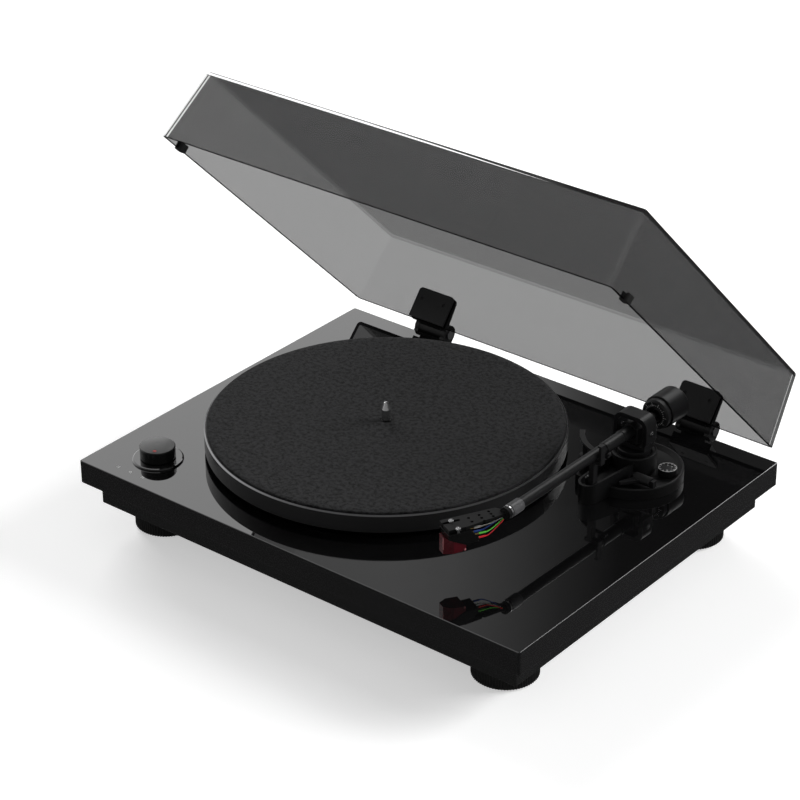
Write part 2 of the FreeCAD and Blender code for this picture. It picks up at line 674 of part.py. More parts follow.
def make_controls():
    hole = KNOB_SHAFT_R + 1.2
    save("knob_ring", turned([(hole, 0), (RING_R, 0), (RING_R, 0.8), (RING_R - 0.5, 1.5),
                              (RING_R - 1.3, 1.9), (hole, 1.9)], KNOB_X, KNOB_Y))
    save("speed_knob", make_knob())
    x, y = polar(KNOB_X, KNOB_Y, DOT_OUT, DOT_ANGLE)
    save("knob_dot", post(DOT_R, x, y, KNOB_TOP, KNOB_TOP + 0.78))
    body = box(KNOB_X - 13, KNOB_X + 13, KNOB_Y - 10, KNOB_Y + 14, SWITCH_BOT, INNER_TOP)
    shaft = post(KNOB_SHAFT_R + RUN, KNOB_X, KNOB_Y, SWITCH_BOT + 1, INNER_TOP + 1)
    save("speed_switch", body.cut(shaft))


# --------------------------------------------------------------------- lid ---
def rounded_rect(half_x, y0, y1, z, r):
    """Closed wire: a rectangle with rounded corners at height z."""
    cx = half_x - r
    c0 = y0 + r
    c1 = y1 - r
    k = r * math.sqrt(0.5)
    p = [Vector(-cx, y0, z), Vector(cx, y0, z), Vector(half_x, c0, z), Vector(half_x, c1, z),
         Vector(cx, y1, z), Vector(-cx, y1, z), Vector(-half_x, c1, z), Vector(-half_x, c0, z)]
    m = [Vector(cx + k, c0 - k, z), Vector(cx + k, c1 + k, z),
         Vector(-cx - k, c1 + k, z), Vector(-cx - k, c0 - k, z)]
    edges = []
    for i in range(4):
        edges.append(Part.makeLine(p[2 * i], p[2 * i + 1]))
        edges.append(Part.Arc(p[2 * i + 1], m[i], p[(2 * i + 2) % 8]).toShape())
    return Part.Wire(edges)


def lid_shell(inset, z0, z1, r):
    """Tapered box of the lid, moved in by inset, between two heights above its rim."""
    wires = []
    for z in (z0, z1):
        lean = LID_DRAFT * z / LID_H
        off = inset + lean
        wires.append(rounded_rect(LID_W / 2 - off, LID_REAR - LID_D + off, LID_REAR - off,
                                  LID_LIFT + z, r))
    return Part.makeLoft(wires, True, True)


def make_lid():
    outer = lid_shell(0, 0, LID_H, 4.0)
    outer = outer.makeFillet(LID_ROUND, edges_at(outer, LID_LIFT + LID_H))
    inner = lid_shell(LID_WALL, -1.0, LID_H - LID_WALL, 1.6)
    holes = []
    for x, z in LEAF_BOLTS:
        holes.append(rod(LEAF_BOLT_R + FIT, (x, LID_REAR - 12, z), (x, LID_REAR + 5, z)))
    return less(outer, [inner] + holes)


LEAF_BOLTS = [(side * HINGE_X + dx, LID_LIFT + 18.0) for side in (-1, 1) for dx in (-12, 12)]
LEAF_T = 2.4
LEAF_BOLT_R = 1.6


def lean_y(z):
    """Rear face of the lid's rear wall at height z above its rim."""
    return LID_REAR - LID_DRAFT * z / LID_H


def make_leaf(cx):
    """Moving hinge leaf: plate on the rear wall, arm and barrel round the pin."""
    half = LEAF_W / 2
    z0 = LID_LIFT + 0.2
    z1 = LID_LIFT + LEAF_H
    outline = [(lean_y(0.2) + 0.02, z0), (lean_y(LEAF_H) + 0.02, z1),
               (lean_y(LEAF_H) + LEAF_T, z1), (lean_y(0.2) + LEAF_T + 2.6, z0 + 2.0),
               (lean_y(0.2) + LEAF_T + 2.6, z0)]
    plate = side_prism(outline, cx - half, cx + half)
    corners = [e for e in plate.Edges
               if abs(e.BoundBox.XMax - e.BoundBox.XMin) < 1e-6
               and e.BoundBox.ZMin > z1 - 1e-3 and e.BoundBox.YMax - e.BoundBox.YMin > 1]
    plate = plate.makeFillet(4.0, corners)
    r = HINGE_R - 0.3
    x0 = cx - BARREL_HALF
    x1 = cx + BARREL_HALF
    arm = side_prism([(LID_REAR + 1.5, z0), (LID_REAR + 1.5, z0 + 13), (HINGE_Y, HINGE_Z + r),
                      (HINGE_Y, HINGE_Z - 2), (HINGE_Y - r + 0.3, HINGE_Z - 1.0)], x0, x1)
    barrel = rod(r, (x0, HINGE_Y, HINGE_Z), (x1, HINGE_Y, HINGE_Z))
    leaf = join([plate, arm, barrel])
    tools = [rod(PIN_R + RUN, (cx - 20, HINGE_Y, HINGE_Z), (cx + 20, HINGE_Y, HINGE_Z))]
    for x, z in LEAF_BOLTS:
        tools.append(rod(LEAF_BOLT_R + FIT, (x, LID_REAR - 8, z), (x, LID_REAR + 8, z)))
    return less(leaf, tools)


def make_clamp(cx):
    """Inner plate that the leaf's bolts draw against the inside of the rear wall."""
    half = LEAF_W / 2
    z0 = LID_LIFT + 0.5
    z1 = LID_LIFT + LEAF_H
    inner = LID_WALL + 0.02
    outline = [(lean_y(0.5) - inner, z0), (lean_y(LEAF_H) - inner, z1),
               (lean_y(LEAF_H) - inner - 1.8, z1), (lean_y(0.5) - inner - 1.8, z0)]
    plate = side_prism(outline, cx - half, cx + half)
    corners = [e for e in plate.Edges
               if abs(e.BoundBox.XMax - e.BoundBox.XMin) < 1e-6
               and e.BoundBox.ZMin > z1 - 1e-3 and e.BoundBox.YMax - e.BoundBox.YMin > 1]
    plate = plate.makeFillet(3.5, corners)
    tools = []
    for x, z in LEAF_BOLTS:
        tools.append(rod(LEAF_BOLT_R + FIT, (x, LID_REAR - 12, z), (x, LID_REAR + 5, z)))
    return less(plate, tools)


def make_leaf_bolt(x, z):
    """Bolt through leaf, lid wall and clamp, head behind the leaf."""
    seat = lean_y(z - LID_LIFT) + 4.35
    tip = lean_y(z - LID_LIFT) - LID_WALL - 1.4
    return screw(3.4, 2.2, LEAF_BOLT_R, (x, seat, z), (x, tip, z))


def make_bracket(cx):
    """Fixed half of the hinge, screwed to the plinth's rear face."""
    y0 = SLAB_D
    z0 = -19.5
    z1 = -8.5
    plate = box(cx - 17, cx + 17, y0, y0 + BRACKET_T, z0, z1)
    parts = [plate]
    inner = BARREL_HALF + CHEEK_GAP
    tangent = HINGE_R * math.sqrt(0.5)
    for x in (cx - inner - CHEEK_T, cx + inner):
        web = side_prism([(y0, z0), (y0, -2.0), (HINGE_Y - HINGE_R + 0.1, HINGE_Z),
                          (HINGE_Y, HINGE_Z), (HINGE_Y + tangent, HINGE_Z - tangent),
                          (y0 + BRACKET_T, z0)], x, x + CHEEK_T)
        cheek = rod(HINGE_R, (x, HINGE_Y, HINGE_Z), (x + CHEEK_T, HINGE_Y, HINGE_Z))
        parts += [web, cheek]
    bracket = join(parts)
    tools = [rod(PIN_R + FIT, (cx - 20, HINGE_Y, HINGE_Z), (cx + 20, HINGE_Y, HINGE_Z))]
    for x, z in BRACKET_SCREWS:
        tools.append(rod(REAR_SCREW_R + FIT, (x, y0 - 1, z), (x, y0 + 5, z)))
    return less(bracket, tools)


def make_pin(cx):
    end = BARREL_HALF + CHEEK_GAP + CHEEK_T
    return join([
        rod(PIN_R, (cx - end - 1.5, HINGE_Y, HINGE_Z), (cx + end + 0.9, HINGE_Y, HINGE_Z)),
        rod(PIN_R + 1.7, (cx + end, HINGE_Y, HINGE_Z), (cx + end + 1.5, HINGE_Y, HINGE_Z)),
    ])


BUMPER_Y = LID_REAR - BUMPER_BACK


def make_bumper(side, lid):
    """Rubber stop pushed over the side wall's rim."""
    edge = side * LID_W / 2
    x0, x1 = sorted((edge - side * 5.2, edge + side * 2.0))
    block = box(x0, x1, BUMPER_Y - 4.5, BUMPER_Y + 4.5, 0.1, LID_LIFT + 5.5)
    block = block.makeFillet(1.6, upright_edges(block))
    return block.cut(lid)


def make_lid_group():
    lid = make_lid()
    save("dust_cover", lid_pose(lid))
    save_all("cover_bumpers", [lid_pose(make_bumper(s, lid)) for s in (-1, 1)])
    save_all("hinge_leaves", [lid_pose(make_leaf(cx)) for cx in (-HINGE_X, HINGE_X)])
    save_all("hinge_clamps", [lid_pose(make_clamp(cx)) for cx in (-HINGE_X, HINGE_X)])
    save_all("leaf_bolts", [lid_pose(make_leaf_bolt(x, z)) for x, z in LEAF_BOLTS])
    save_all("hinge_brackets", [make_bracket(cx) for cx in (-HINGE_X, HINGE_X)])
    save_all("hinge_pins", [make_pin(cx) for cx in (-HINGE_X, HINGE_X)])


# ------------------------------------------------------------ tonearm base ---
YAW_SHAFT_R = 4.0
PLUNGER_R = 2.2
REST_PIN = (POD_X - 2.0, POD_Y + 0.5)


def make_arm_base():
    pivot = (PIVOT_X, PIVOT_Y)
    pod = (POD_X, POD_Y)
    plate = turned([(0, 0), (BASE_R, 0), (BASE_R, BASE_TOP - 0.8), (BASE_R - 0.8, BASE_TOP),
                    (BASE_R - 1.8, BASE_TOP), (BASE_R - 5.0, DISH_Z), (0, DISH_Z)],
                   PIVOT_X, PIVOT_Y)
    lobe = post(7.5, LIFT_X, LIFT_Y, 0, BASE_TOP)
    bridge = hull(pod, POD_R, pivot, 13.0, 0, 21.0)
    hollow = hull(pod, POD_R - 2.0, pivot, 11.0, 12.0, 22.0)
    front = POD_Y - 19.0
    back = PIVOT_Y - 13.0
    slope = side_prism([(front, 15.2), (back, 20.4), (back, 30), (front, 30)],
                       PIVOT_X - 43, PIVOT_X + 47)
    bridge = less(bridge, [hollow, slope, post(4.6, REST_PIN[0], REST_PIN[1], 11.0, 13.0)])
    ears = [box(x, x + EAR_T, LEVER_Y - 2.3, LEVER_Y + 2.3, DISH_Z - 1, LEVER_Z + 2.3)
            for x in (LEVER_X - 8.1 - EAR_T, LEVER_X + 8.1)]
    boss = post(BOSS_R, PIVOT_X, PIVOT_Y, INNER_TOP - 7.2, 1)
    cylinder = post(4.5, LIFT_X, LIFT_Y, BASE_TOP - 1, 26.0)
    base = join([plate, lobe, cylinder, bridge, boss] + ears)
    tools = [
        post(PILLAR_R + FIT, PIVOT_X, PIVOT_Y, DISH_Z, 30),
        post(YAW_SHAFT_R + 2 * FIT, PIVOT_X, PIVOT_Y, INNER_TOP - 9, 10),
        post(2.0 + RUN, SKATE_X, SKATE_Y, 2.0, 10),
        post(PLUNGER_R + RUN, LIFT_X, LIFT_Y, BASE_TOP, 27),
        rod(AXLE_R + RUN, (LEVER_X - 12, LEVER_Y, LEVER_Z), (LEVER_X + 12, LEVER_Y, LEVER_Z)),
    ]
    return less(base, tools)


def make_pillar():
    r = YAW_SHAFT_R + RUN
    return turned([(r, DISH_Z), (PILLAR_R, DISH_Z), (PILLAR_R, PILLAR_TOP - 0.6),
                   (PILLAR_R - 0.6, PILLAR_TOP), (PILLAR_R - 2.2, PILLAR_TOP),
                   (COLLAR_R, PILLAR_TOP - 2.0), (COLLAR_R, COLLAR_TOP - 0.5),
                   (COLLAR_R - 0.5, COLLAR_TOP), (r, COLLAR_TOP)], PIVOT_X, PIVOT_Y)


def make_rest():
    """Post and sideways cradle that the parked tube lies in."""
    y0 = POST_Y - 2.8
    y1 = POST_Y + 2.8
    under = AXIS_Z - TUBE_R - 0.4
    tube_x = PIVOT_X - (POST_Y - PIVOT_Y) * math.sin(math.radians(REST_YAW))
    inner = tube_x + TUBE_R + 0.56
    outer = inner + 2.2
    hook_z = AXIS_Z + TUBE_R + 3.7
    stem = box(POST_X - 2.2, POST_X + 2.2, y0, y1, 12.0, under - 1)
    lip = box(POST_X - 4.6, outer, y0, y1, under - 2.8, under)
    wall = box(inner, outer, y0, y1, under - 2.8, hook_z + 0.5)
    hook = box(inner - 1.2, outer, y0, y1, hook_z, hook_z + 1.5)
    return join([stem, lip, wall, hook])


def make_lift_bar():
    """Curved bar under the tube, concentric with the pivot, on its plunger."""
    top = AXIS_Z - SLEEVE_R - 0.5
    full = ring(LIFT_DIST + 2.2, LIFT_DIST - 2.2, PIVOT_X, PIVOT_Y, top - 1.8, top)
    fan = [(PIVOT_X, PIVOT_Y)]
    for i in range(9):
        fan.append(polar(PIVOT_X, PIVOT_Y, 60, -152 + i * (152 - 84) / 8.0))
    bar = full.common(prism(fan, top - 3, top + 1))
    return join([bar, post(PLUNGER_R, LIFT_X, LIFT_Y, BASE_TOP + 1.5, top - 0.5)])


def make_lever():
    x0 = LEVER_X - LEVER_LEN / 2
    x1 = LEVER_X + LEVER_LEN / 2
    barrel = rod(LEVER_R, (x0, LEVER_Y, LEVER_Z), (x1, LEVER_Y, LEVER_Z))
    axle = rod(AXLE_R, (x0 - 3.1, LEVER_Y, LEVER_Z), (x1 + 3.1, LEVER_Y, LEVER_Z))
    handle = hull((x0 + 3.9, LEVER_Y - 2.0), 3.2, (x0 - 4.0, LEVER_Y - 15.4), 1.3,
                  LEVER_Z - 1.6, LEVER_Z + 1.2)
    return join([barrel, axle, handle])


def make_skate_dial():
    body = ribbed(SKATE_R, 0.35, 40, SKATE_X, SKATE_Y, DISH_Z + 0.3, 12.0)
    rim = SKATE_R + 0.1
    cap = turned([(0, 12.0), (rim, 12.0), (rim, 12.7), (rim - 0.4, 13.0), (rim - 1.9, 13.0),
                  (rim - 2.1, 12.6), (0, 12.6)], SKATE_X, SKATE_Y)
    return join([body, cap, post(2.0, SKATE_X, SKATE_Y, 2.4, DISH_Z + 1)])


def make_arm_mount():
    save("tonearm_base", make_arm_base())
    nut = ribbed(15.0, 0.8, 24, PIVOT_X, PIVOT_Y, INNER_TOP - 5.0, INNER_TOP)
    save("base_nut", nut.cut(post(BOSS_R + FIT, PIVOT_X, PIVOT_Y, INNER_TOP - 20, 0)))
    save("arm_pillar", make_pillar())
    save("arm_rest", make_rest())
    save("rest_pin", post(1.8, REST_PIN[0], REST_PIN[1], 11.0, 20.5))
    save("lift_bar", make_lift_bar())
    save("cue_lever", make_lever())
    save("antiskate_dial", make_skate_dial())


# ------------------------------------------------------------------ tonearm ---
def make_yoke():
    outline = [(-14.4, -14.7), (-14.4, -10.6), (-16, -7.5), (-16, YOKE_TOP),
               (16, YOKE_TOP), (16, -7.5), (14.4, -10.6), (14.4, -14.7)]
    arch = front_prism(outline, -7, 7)
    arch = arch.makeFillet(8.5, top_edges(arch))
    window = box(-12.4, 12.4, -8, 8, -11.2, YOKE_TOP - 3.8)
    window = window.makeFillet(5.0, top_edges(window))
    yoke = arch.cut(window)
    tools = [rod(2.2 + FIT, (-17, 0, 0), (17, 0, 0)), post(YAW_SHAFT_R + FIT, 0, 0, -16, -10)]
    return less(yoke, tools)


def make_bearing_screw(side):
    return join([rod(2.2, (side * 12.5, 0, 0), (side * 16.4, 0, 0)),
                 rod(1.2, (side * 6.6, 0, 0), (side * 13.0, 0, 0))])


def make_block():
    block = box(-8, 8, -7.5, 7.5, -9.5, 4.0)
    block = block.makeFillet(1.2, upright_edges(block))
    crown = rod(6.6, (0, -7.5, 0), (0, 7.5, 0))
    block = join([block, crown])
    tools = [
        rod(1.2 + RUN, (-9, 0, 0), (-6.3, 0, 0)),
        rod(1.2 + RUN, (6.3, 0, 0), (9, 0, 0)),
        rod(3.6 + FIT, (0, -9, 0), (0, -3, 0)),
        rod(REAR_R + FIT, (0, 3, 0), (0, 9, 0)),
    ]
    return less(block, tools)


def make_arm_sleeve():
    """Stepped sleeve that joins the tube to the bearing block."""
    return turned_y([(0, -3.2), (3.6, -3.2), (3.6, -7.6), (SLEEVE_R + 0.5, -7.6),
                     (SLEEVE_R + 0.5, -19.5), (SLEEVE_R, -20.0), (SLEEVE_R, -43.0),
                     (TUBE_R + FIT, -43.5), (TUBE_R + FIT, -22.0), (0, -22.0)])


def make_tube():
    return pipe(TUBE_R, TUBE_R - TUBE_WALL, (0, -167.0, 0), (0, -22.2, 0))


def make_lock_collar():
    outer = TUBE_R + 1.0
    end = COLLAR_Y - COLLAR_LEN
    return turned_y([(TUBE_R + RUN, COLLAR_Y), (outer - 0.4, COLLAR_Y), (outer, COLLAR_Y - 0.5),
                     (outer, end + 0.6), (outer - 0.3, end), (TUBE_R + RUN, end)])


def make_collar_ring():
    start = COLLAR_Y - COLLAR_LEN - 0.3
    return pipe(TUBE_R + 0.8, TUBE_R + FIT, (0, start - 1.5, 0), (0, start, 0))


def head_local(x, y):
    """Point of the cartridge frame (x forward, y sideways) in the arm frame."""
    a = math.radians(HEAD_ANGLE)
    return (SCREW_MID[0] + x * math.cos(a) - y * math.sin(a),
            SCREW_MID[1] + x * math.sin(a) + y * math.cos(a))


def make_headshell():
    plate = prism([(-31.7, -210.8), (-14.2, -219.2), (0.6, -172.0), (3.4, -168.2),
                   (-3.6, -167.6), (-10.6, -169.4)], SHELL_BOT, SHELL_TOP)
    plate = plate.makeFillet(1.0, upright_edges(plate))
    neck = rod(TUBE_R - TUBE_WALL - 0.4, (0, -171.5, 0), (0, -160.0, 0))
    shoulder = rod(TUBE_R + 0.5, (0, -170.6, 0), (0, -167.6, 0))
    shell = join([plate, neck, shoulder])
    tools = []
    for side in (-1, 1):
        a = head_local(-6.0, side * SCREW_PITCH / 2)
        b = head_local(6.0, side * SCREW_PITCH / 2)
        tools.append(hull(a, 1.401, b, 1.4, SHELL_BOT - 1, SHELL_TOP + 1))
    for forward, middle, pitch in SHELL_HOLES:
        for j in (-1, 0, 1):
            x, y = head_local(forward, middle + j * pitch)
            tools.append(post(SHELL_HOLE_R, x, y, SHELL_BOT - 1, SHELL_TOP + 1))
    return less(shell, tools)


def head_side_prism(points, half):
    """Prism across the cartridge from (forward, z) points."""
    return front_prism(points, -half, half)


def make_cartridge():
    body = head_side_prism([(-10.5, SHELL_BOT), (8.5, SHELL_BOT), (8.5, -5.5), (-6, -12.9),
                            (CART_REAR, -12.9), (CART_REAR, -10.4)], 8.0)
    body = body.makeFillet(0.8, upright_edges(body))
    tools = [post(1.2 + FIT, 0, s * SCREW_PITCH / 2, -7, 0) for s in (-1, 1)]
    tools += [rod(CONTACT_HOLE_R, (CONTACT_SEAT, y, z), (CART_REAR - 1, y, z)) for y, z in CONTACT_SPOTS]
    return less(body, tools)


def make_stylus_unit():
    wedge = head_side_prism([(11.2, -4.42), (11.2, -19.2), (-6, -17.6), (-6, -13.2)], 7.6)
    nose = prism([(-7, -8), (3.5, -8), (11.2, -3.4), (11.2, 3.4), (3.5, 8), (-7, 8)], -20, 0)
    grip = wedge.common(nose)
    cantilever = rod(0.4, (2.0, 0, -17.9), (9.5, 0, -19.5))
    tip = Part.makeCone(0.4, 0.1, 1.0, Vector(9.3, 0, STYLUS_Z + 1.0), Vector(0, 0, -1))
    return join([grip, cantilever, tip])


def wire_run(y, z, lane):
    """One lead from its pin back to the underside of the headshell's neck."""
    pin = head_local(CONTACT_END - 0.1, y)
    bend = head_local(CONTACT_END - 3.5, y)
    pts = [Vector(pin[0], pin[1], z), Vector(bend[0], bend[1], z),
           Vector(1.35 * lane, -171.2, -4.6)]
    curve = Part.BSplineCurve()
    curve.interpolate(pts)
    path = Part.Wire([curve.toShape()])
    way = curve.tangent(curve.FirstParameter)[0]
    rim = Part.Wire([Part.makeCircle(0.45, pts[0], way)])
    return path.makePipeShell([rim], True, True)


def make_head():
    save("headshell", arm_pose(make_headshell()))
    save("cartridge_body", head_pose(make_cartridge()))
    save("stylus_unit", head_pose(make_stylus_unit()))
    save_all("cartridge_screws", [
        head_pose(screw(2.1, 1.5, 1.2, (0, s * SCREW_PITCH / 2, SHELL_TOP),
                        (0, s * SCREW_PITCH / 2, -6.5))) for s in (-1, 1)])
    save_all("cartridge_pins", [head_pose(rod(CONTACT_R, (CONTACT_END, y, z), (CONTACT_SEAT, y, z)))
                                for y, z in CONTACT_SPOTS])
    save_all("lead_wires", [arm_pose(wire_run(y, z, lane)) for (y, z), lane
                            in zip(CONTACT_SPOTS, (-1.5, -0.5, 0.5, 1.5))])


def make_weight():
    return turned_y([(REAR_R + RUN, 30.0), (6.0, 30.0), (6.0, 27.0), (7.6, 27.0), (8.0, 27.4),
                     (8.0, 33.4), (WEIGHT_R - 0.6, 33.4), (WEIGHT_R, 34.0), (WEIGHT_R, 55.5),
                     (WEIGHT_R - 2.6, 58.6), (REAR_R + RUN, 58.6)])


def make_force_ring():
    return turned_y([(8.0 + RUN, 27.3), (11.4, 27.3), (12.8, 28.7), (12.8, 33.1), (8.0 + RUN, 33.1)])


def make_tonearm():
    save("yoke", arm_pose(make_yoke()))
    save("pivot_shaft", arm_pose(post(YAW_SHAFT_R, 0, 0, INNER_TOP - 6.2 - AXIS_Z, -11.4)))
    save_all("pivot_screws", [arm_pose(make_bearing_screw(s)) for s in (-1, 1)])
    save("gimbal_block", arm_pose(make_block()))
    save("arm_sleeve", arm_pose(make_arm_sleeve()))
    save("arm_tube", arm_pose(make_tube()))
    save("lock_collar", arm_pose(make_lock_collar()))
    save("collar_ring", arm_pose(make_collar_ring()))
    save("rear_shaft", arm_pose(rod(REAR_R, (0, 3.3, 0), (0, 62.0, 0))))
    save("counterweight", arm_pose(make_weight()))
    save("force_ring", arm_pose(make_force_ring()))


make_plinth()
make_rear()
make_drive()
make_controls()
make_lid_group()
make_arm_mount()
make_head()
make_tonearm()
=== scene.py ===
import json
import math

import bmesh
import bpy
from mathutils import Matrix, Vector, noise


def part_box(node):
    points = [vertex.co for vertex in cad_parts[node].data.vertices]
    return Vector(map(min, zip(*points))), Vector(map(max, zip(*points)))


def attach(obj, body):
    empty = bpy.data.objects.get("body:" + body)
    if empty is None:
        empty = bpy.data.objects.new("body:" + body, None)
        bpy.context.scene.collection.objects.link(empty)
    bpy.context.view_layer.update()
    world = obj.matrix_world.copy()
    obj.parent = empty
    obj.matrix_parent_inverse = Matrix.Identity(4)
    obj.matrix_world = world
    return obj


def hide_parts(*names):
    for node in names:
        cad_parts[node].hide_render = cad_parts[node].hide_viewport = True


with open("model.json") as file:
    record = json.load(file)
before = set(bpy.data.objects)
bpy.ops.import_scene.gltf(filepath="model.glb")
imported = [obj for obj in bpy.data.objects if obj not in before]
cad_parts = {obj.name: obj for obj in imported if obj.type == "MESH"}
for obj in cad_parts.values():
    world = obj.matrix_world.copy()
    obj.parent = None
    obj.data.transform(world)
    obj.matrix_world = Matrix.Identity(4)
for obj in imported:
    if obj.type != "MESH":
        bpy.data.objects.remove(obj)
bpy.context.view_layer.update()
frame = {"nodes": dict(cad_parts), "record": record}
nodes = frame["nodes"]

# ------------------------------------------------------------------ camera ---
CAMERA_AT = (1.186326, -1.509678, 1.171193)
AZIMUTH = 39.205
ELEVATION = 28.867
ROLL = -0.394
FOCAL = 121.264     # mm, over a sensor 36 mm wide
SENSOR = 36.0

# ------------------------------------------------------------ dust cover ---
LID_TILT = 45.0     # opening, degrees
LID_WALL = 0.003
LID_DRAFT = 0.006   # inward lean of the walls over their height
# The walls and the top are one acrylic; their different tints are painted light and shade.
SIDE_TINTS = (0.505, 0.640)     # light let through a face of the left and the right wall
END_TINTS = (0.490, 0.600)      # the same for the rear and the front wall
TOP_TINT = 0.378
STEEP_TOP = 0.545   # the top, seen along its face
STEEP_WALL = 0.10
SHADOW_TINT = 0.93  # a face to light that falls through
# The rim is painted black as shade; the piped band is painted nearly clear as a highlight.
RIM_SHADE = 0.03
RIM_BAND = 0.0002
PIPED_HIGHLIGHT = 0.98
PIPED_REACH = 0.0125
PIPED_END = 0.15    # across the cover, where its front corner has turned black

# Bands beside the cover's solid corners, painted by place: reach from the corner and light let
# through.
# High levels are painted highlight, low ones painted shade.
FRONT_RIGHT = (0.0045, 0.80)
LEFT_FRONT = (0.0074, 1.00)
FRONT_LEFT = ((0.0050, 0.09), (0.0034, 0.90), (0.0022, 0.02))
REAR_RIGHT = ((0.0090, 0.18), (0.0034, 0.03))
TOP_FRONT = 0.0039
TOP_RIGHT = 0.0045
TOP_STRIP = 0.0033
TOP_BAND = 0.06
TOP_LINE = 0.04
TOP_LINE_LEFT = 0.0011      # reach of the black line at the cover's left, and at its right
TOP_LINE_RIGHT = 0.0036

# --------------------------------------------------------------- tonearm ---
ARM_YAW = -0.6
HEAD_ANGLE = -115.7
HEAD_AT = (-17.8, -209.5, 0.0)      # middle of the cartridge screws, mm from the pivot
SCREW_PITCH = 12.7
SCREW_HEAD = (2.1, 1.5, 0.7)        # cartridge screws: radius, height and slot, mm
SCREW_SHANK = (1.2, 7.5)            # radius and length below the head
SCREW_TURN = 24     # way the slots point, degrees
SHELL_TOP = 1.0
PIVOT_SCREWS = 16.3         # their faces, mm to each side of the pivot
PIVOT_HEAD = (2.15, 0.8, 0.6)
PIVOT_TURN = 35
DIAL_FACE = 27.3    # front of the tracking force ring, mm behind the pivot
FORCE_TICKS = 8.7   # radius of its ticks, and of its figures, mm
FORCE_FIGURES = 10.4
SKATE_TICKS = 6.3
SKATE_FIGURES = 3.9

# Lead wires: colour, sideways place of the pin, its height, and sideways place at the neck.
LEADS = {
    "lead_blue": ((0.02, 0.07, 0.35), -4.4, -11.6, -2.0),
    "lead_white": ((0.65, 0.65, 0.62), -4.4, -8.0, -0.7),
    "lead_green": ((0.10, 0.52, 0.05), 4.4, -8.0, 0.7),
    "lead_red": ((0.62, 0.02, 0.03), 4.4, -11.6, 2.0),
}
LEAD_RADIUS = 0.00042
LEAD_CLIP = ((-18.2, 2), (-23.0, 2), (-23.6, 1.4), (-26.0, 1))     # place and width in radii
LEAD_SLACK = (-33.0, -2.2)  # place, and sag below half the pin's height
LEAD_NECK = (-40.5, -2.6)   # place and height

# ------------------------------------------------------- knob and platter ---
KNOB_DOME = 0.0017          # height of the satin top over the polished skirt
SPEEDS = ("33", "45", "78")
SPEED_PITCH = 0.0135
SPEEDS_AT = (-0.0028, -0.030)       # the middle one, from the knob's axis
SPINDLE_CONE = 0.0068       # height of the cone on its tip
MAT_HOLE = 4.4      # radius, mm
CHAMFER = 1.0       # of the platter, mm
CHAMFER_SKIN = 0.03         # how far the polished piece on it stands out, mm

# ---------------------------------------------------------------- studio ---
# Brightness of the room as polished surfaces mirror it: (azimuth in degrees, level).
ROOM = ((-180, 1.35), (-172, 1.35), (-120, 0.30), (-80, 0.22), (60, 0.22), (100, 0.06),
        (123.4, 0.06), (129.6, 1.40), (180, 1.40))
ROOM_PEAK = 1.5
BELOW_HORIZON = 0.07
HORIZON = (-0.15, 0.05)     # heights between which the mirrored room ends
AMBIENT = 0.32
FLOOR_GLOW = 0.48
FLOOR_RADIUS = 12
# Lamps: azimuth and elevation in degrees, strength, spread in degrees, and whether one
# makes only shine (True) or lights only matt surfaces.
LAMPS = {
    "rim": (93, 40, 1.3, 32, True),
    "back_right": (52, 20, 3.7, 32, False),
    "back_left": (150, 20, 2.7, 32, False),
}


def add_camera():
    az, el, roll = (math.radians(v) for v in (AZIMUTH, ELEVATION, ROLL))
    back = Vector((math.sin(az) * math.cos(el), -math.cos(az) * math.cos(el), math.sin(el)))
    right = Vector((math.cos(az), math.sin(az), 0))
    up = back.cross(right)
    side = right * math.cos(roll) + up * math.sin(roll)
    top = up * math.cos(roll) - right * math.sin(roll)
    data = bpy.data.cameras.new("camera")
    data.sensor_width = SENSOR
    data.lens = FOCAL
    data.clip_end = 50
    camera = bpy.data.objects.new("camera", data)
    turn = Matrix((side, top, back)).transposed().to_4x4()
    camera.matrix_world = Matrix.Translation(CAMERA_AT) @ turn
    bpy.context.scene.collection.objects.link(camera)
    bpy.context.scene.camera = camera


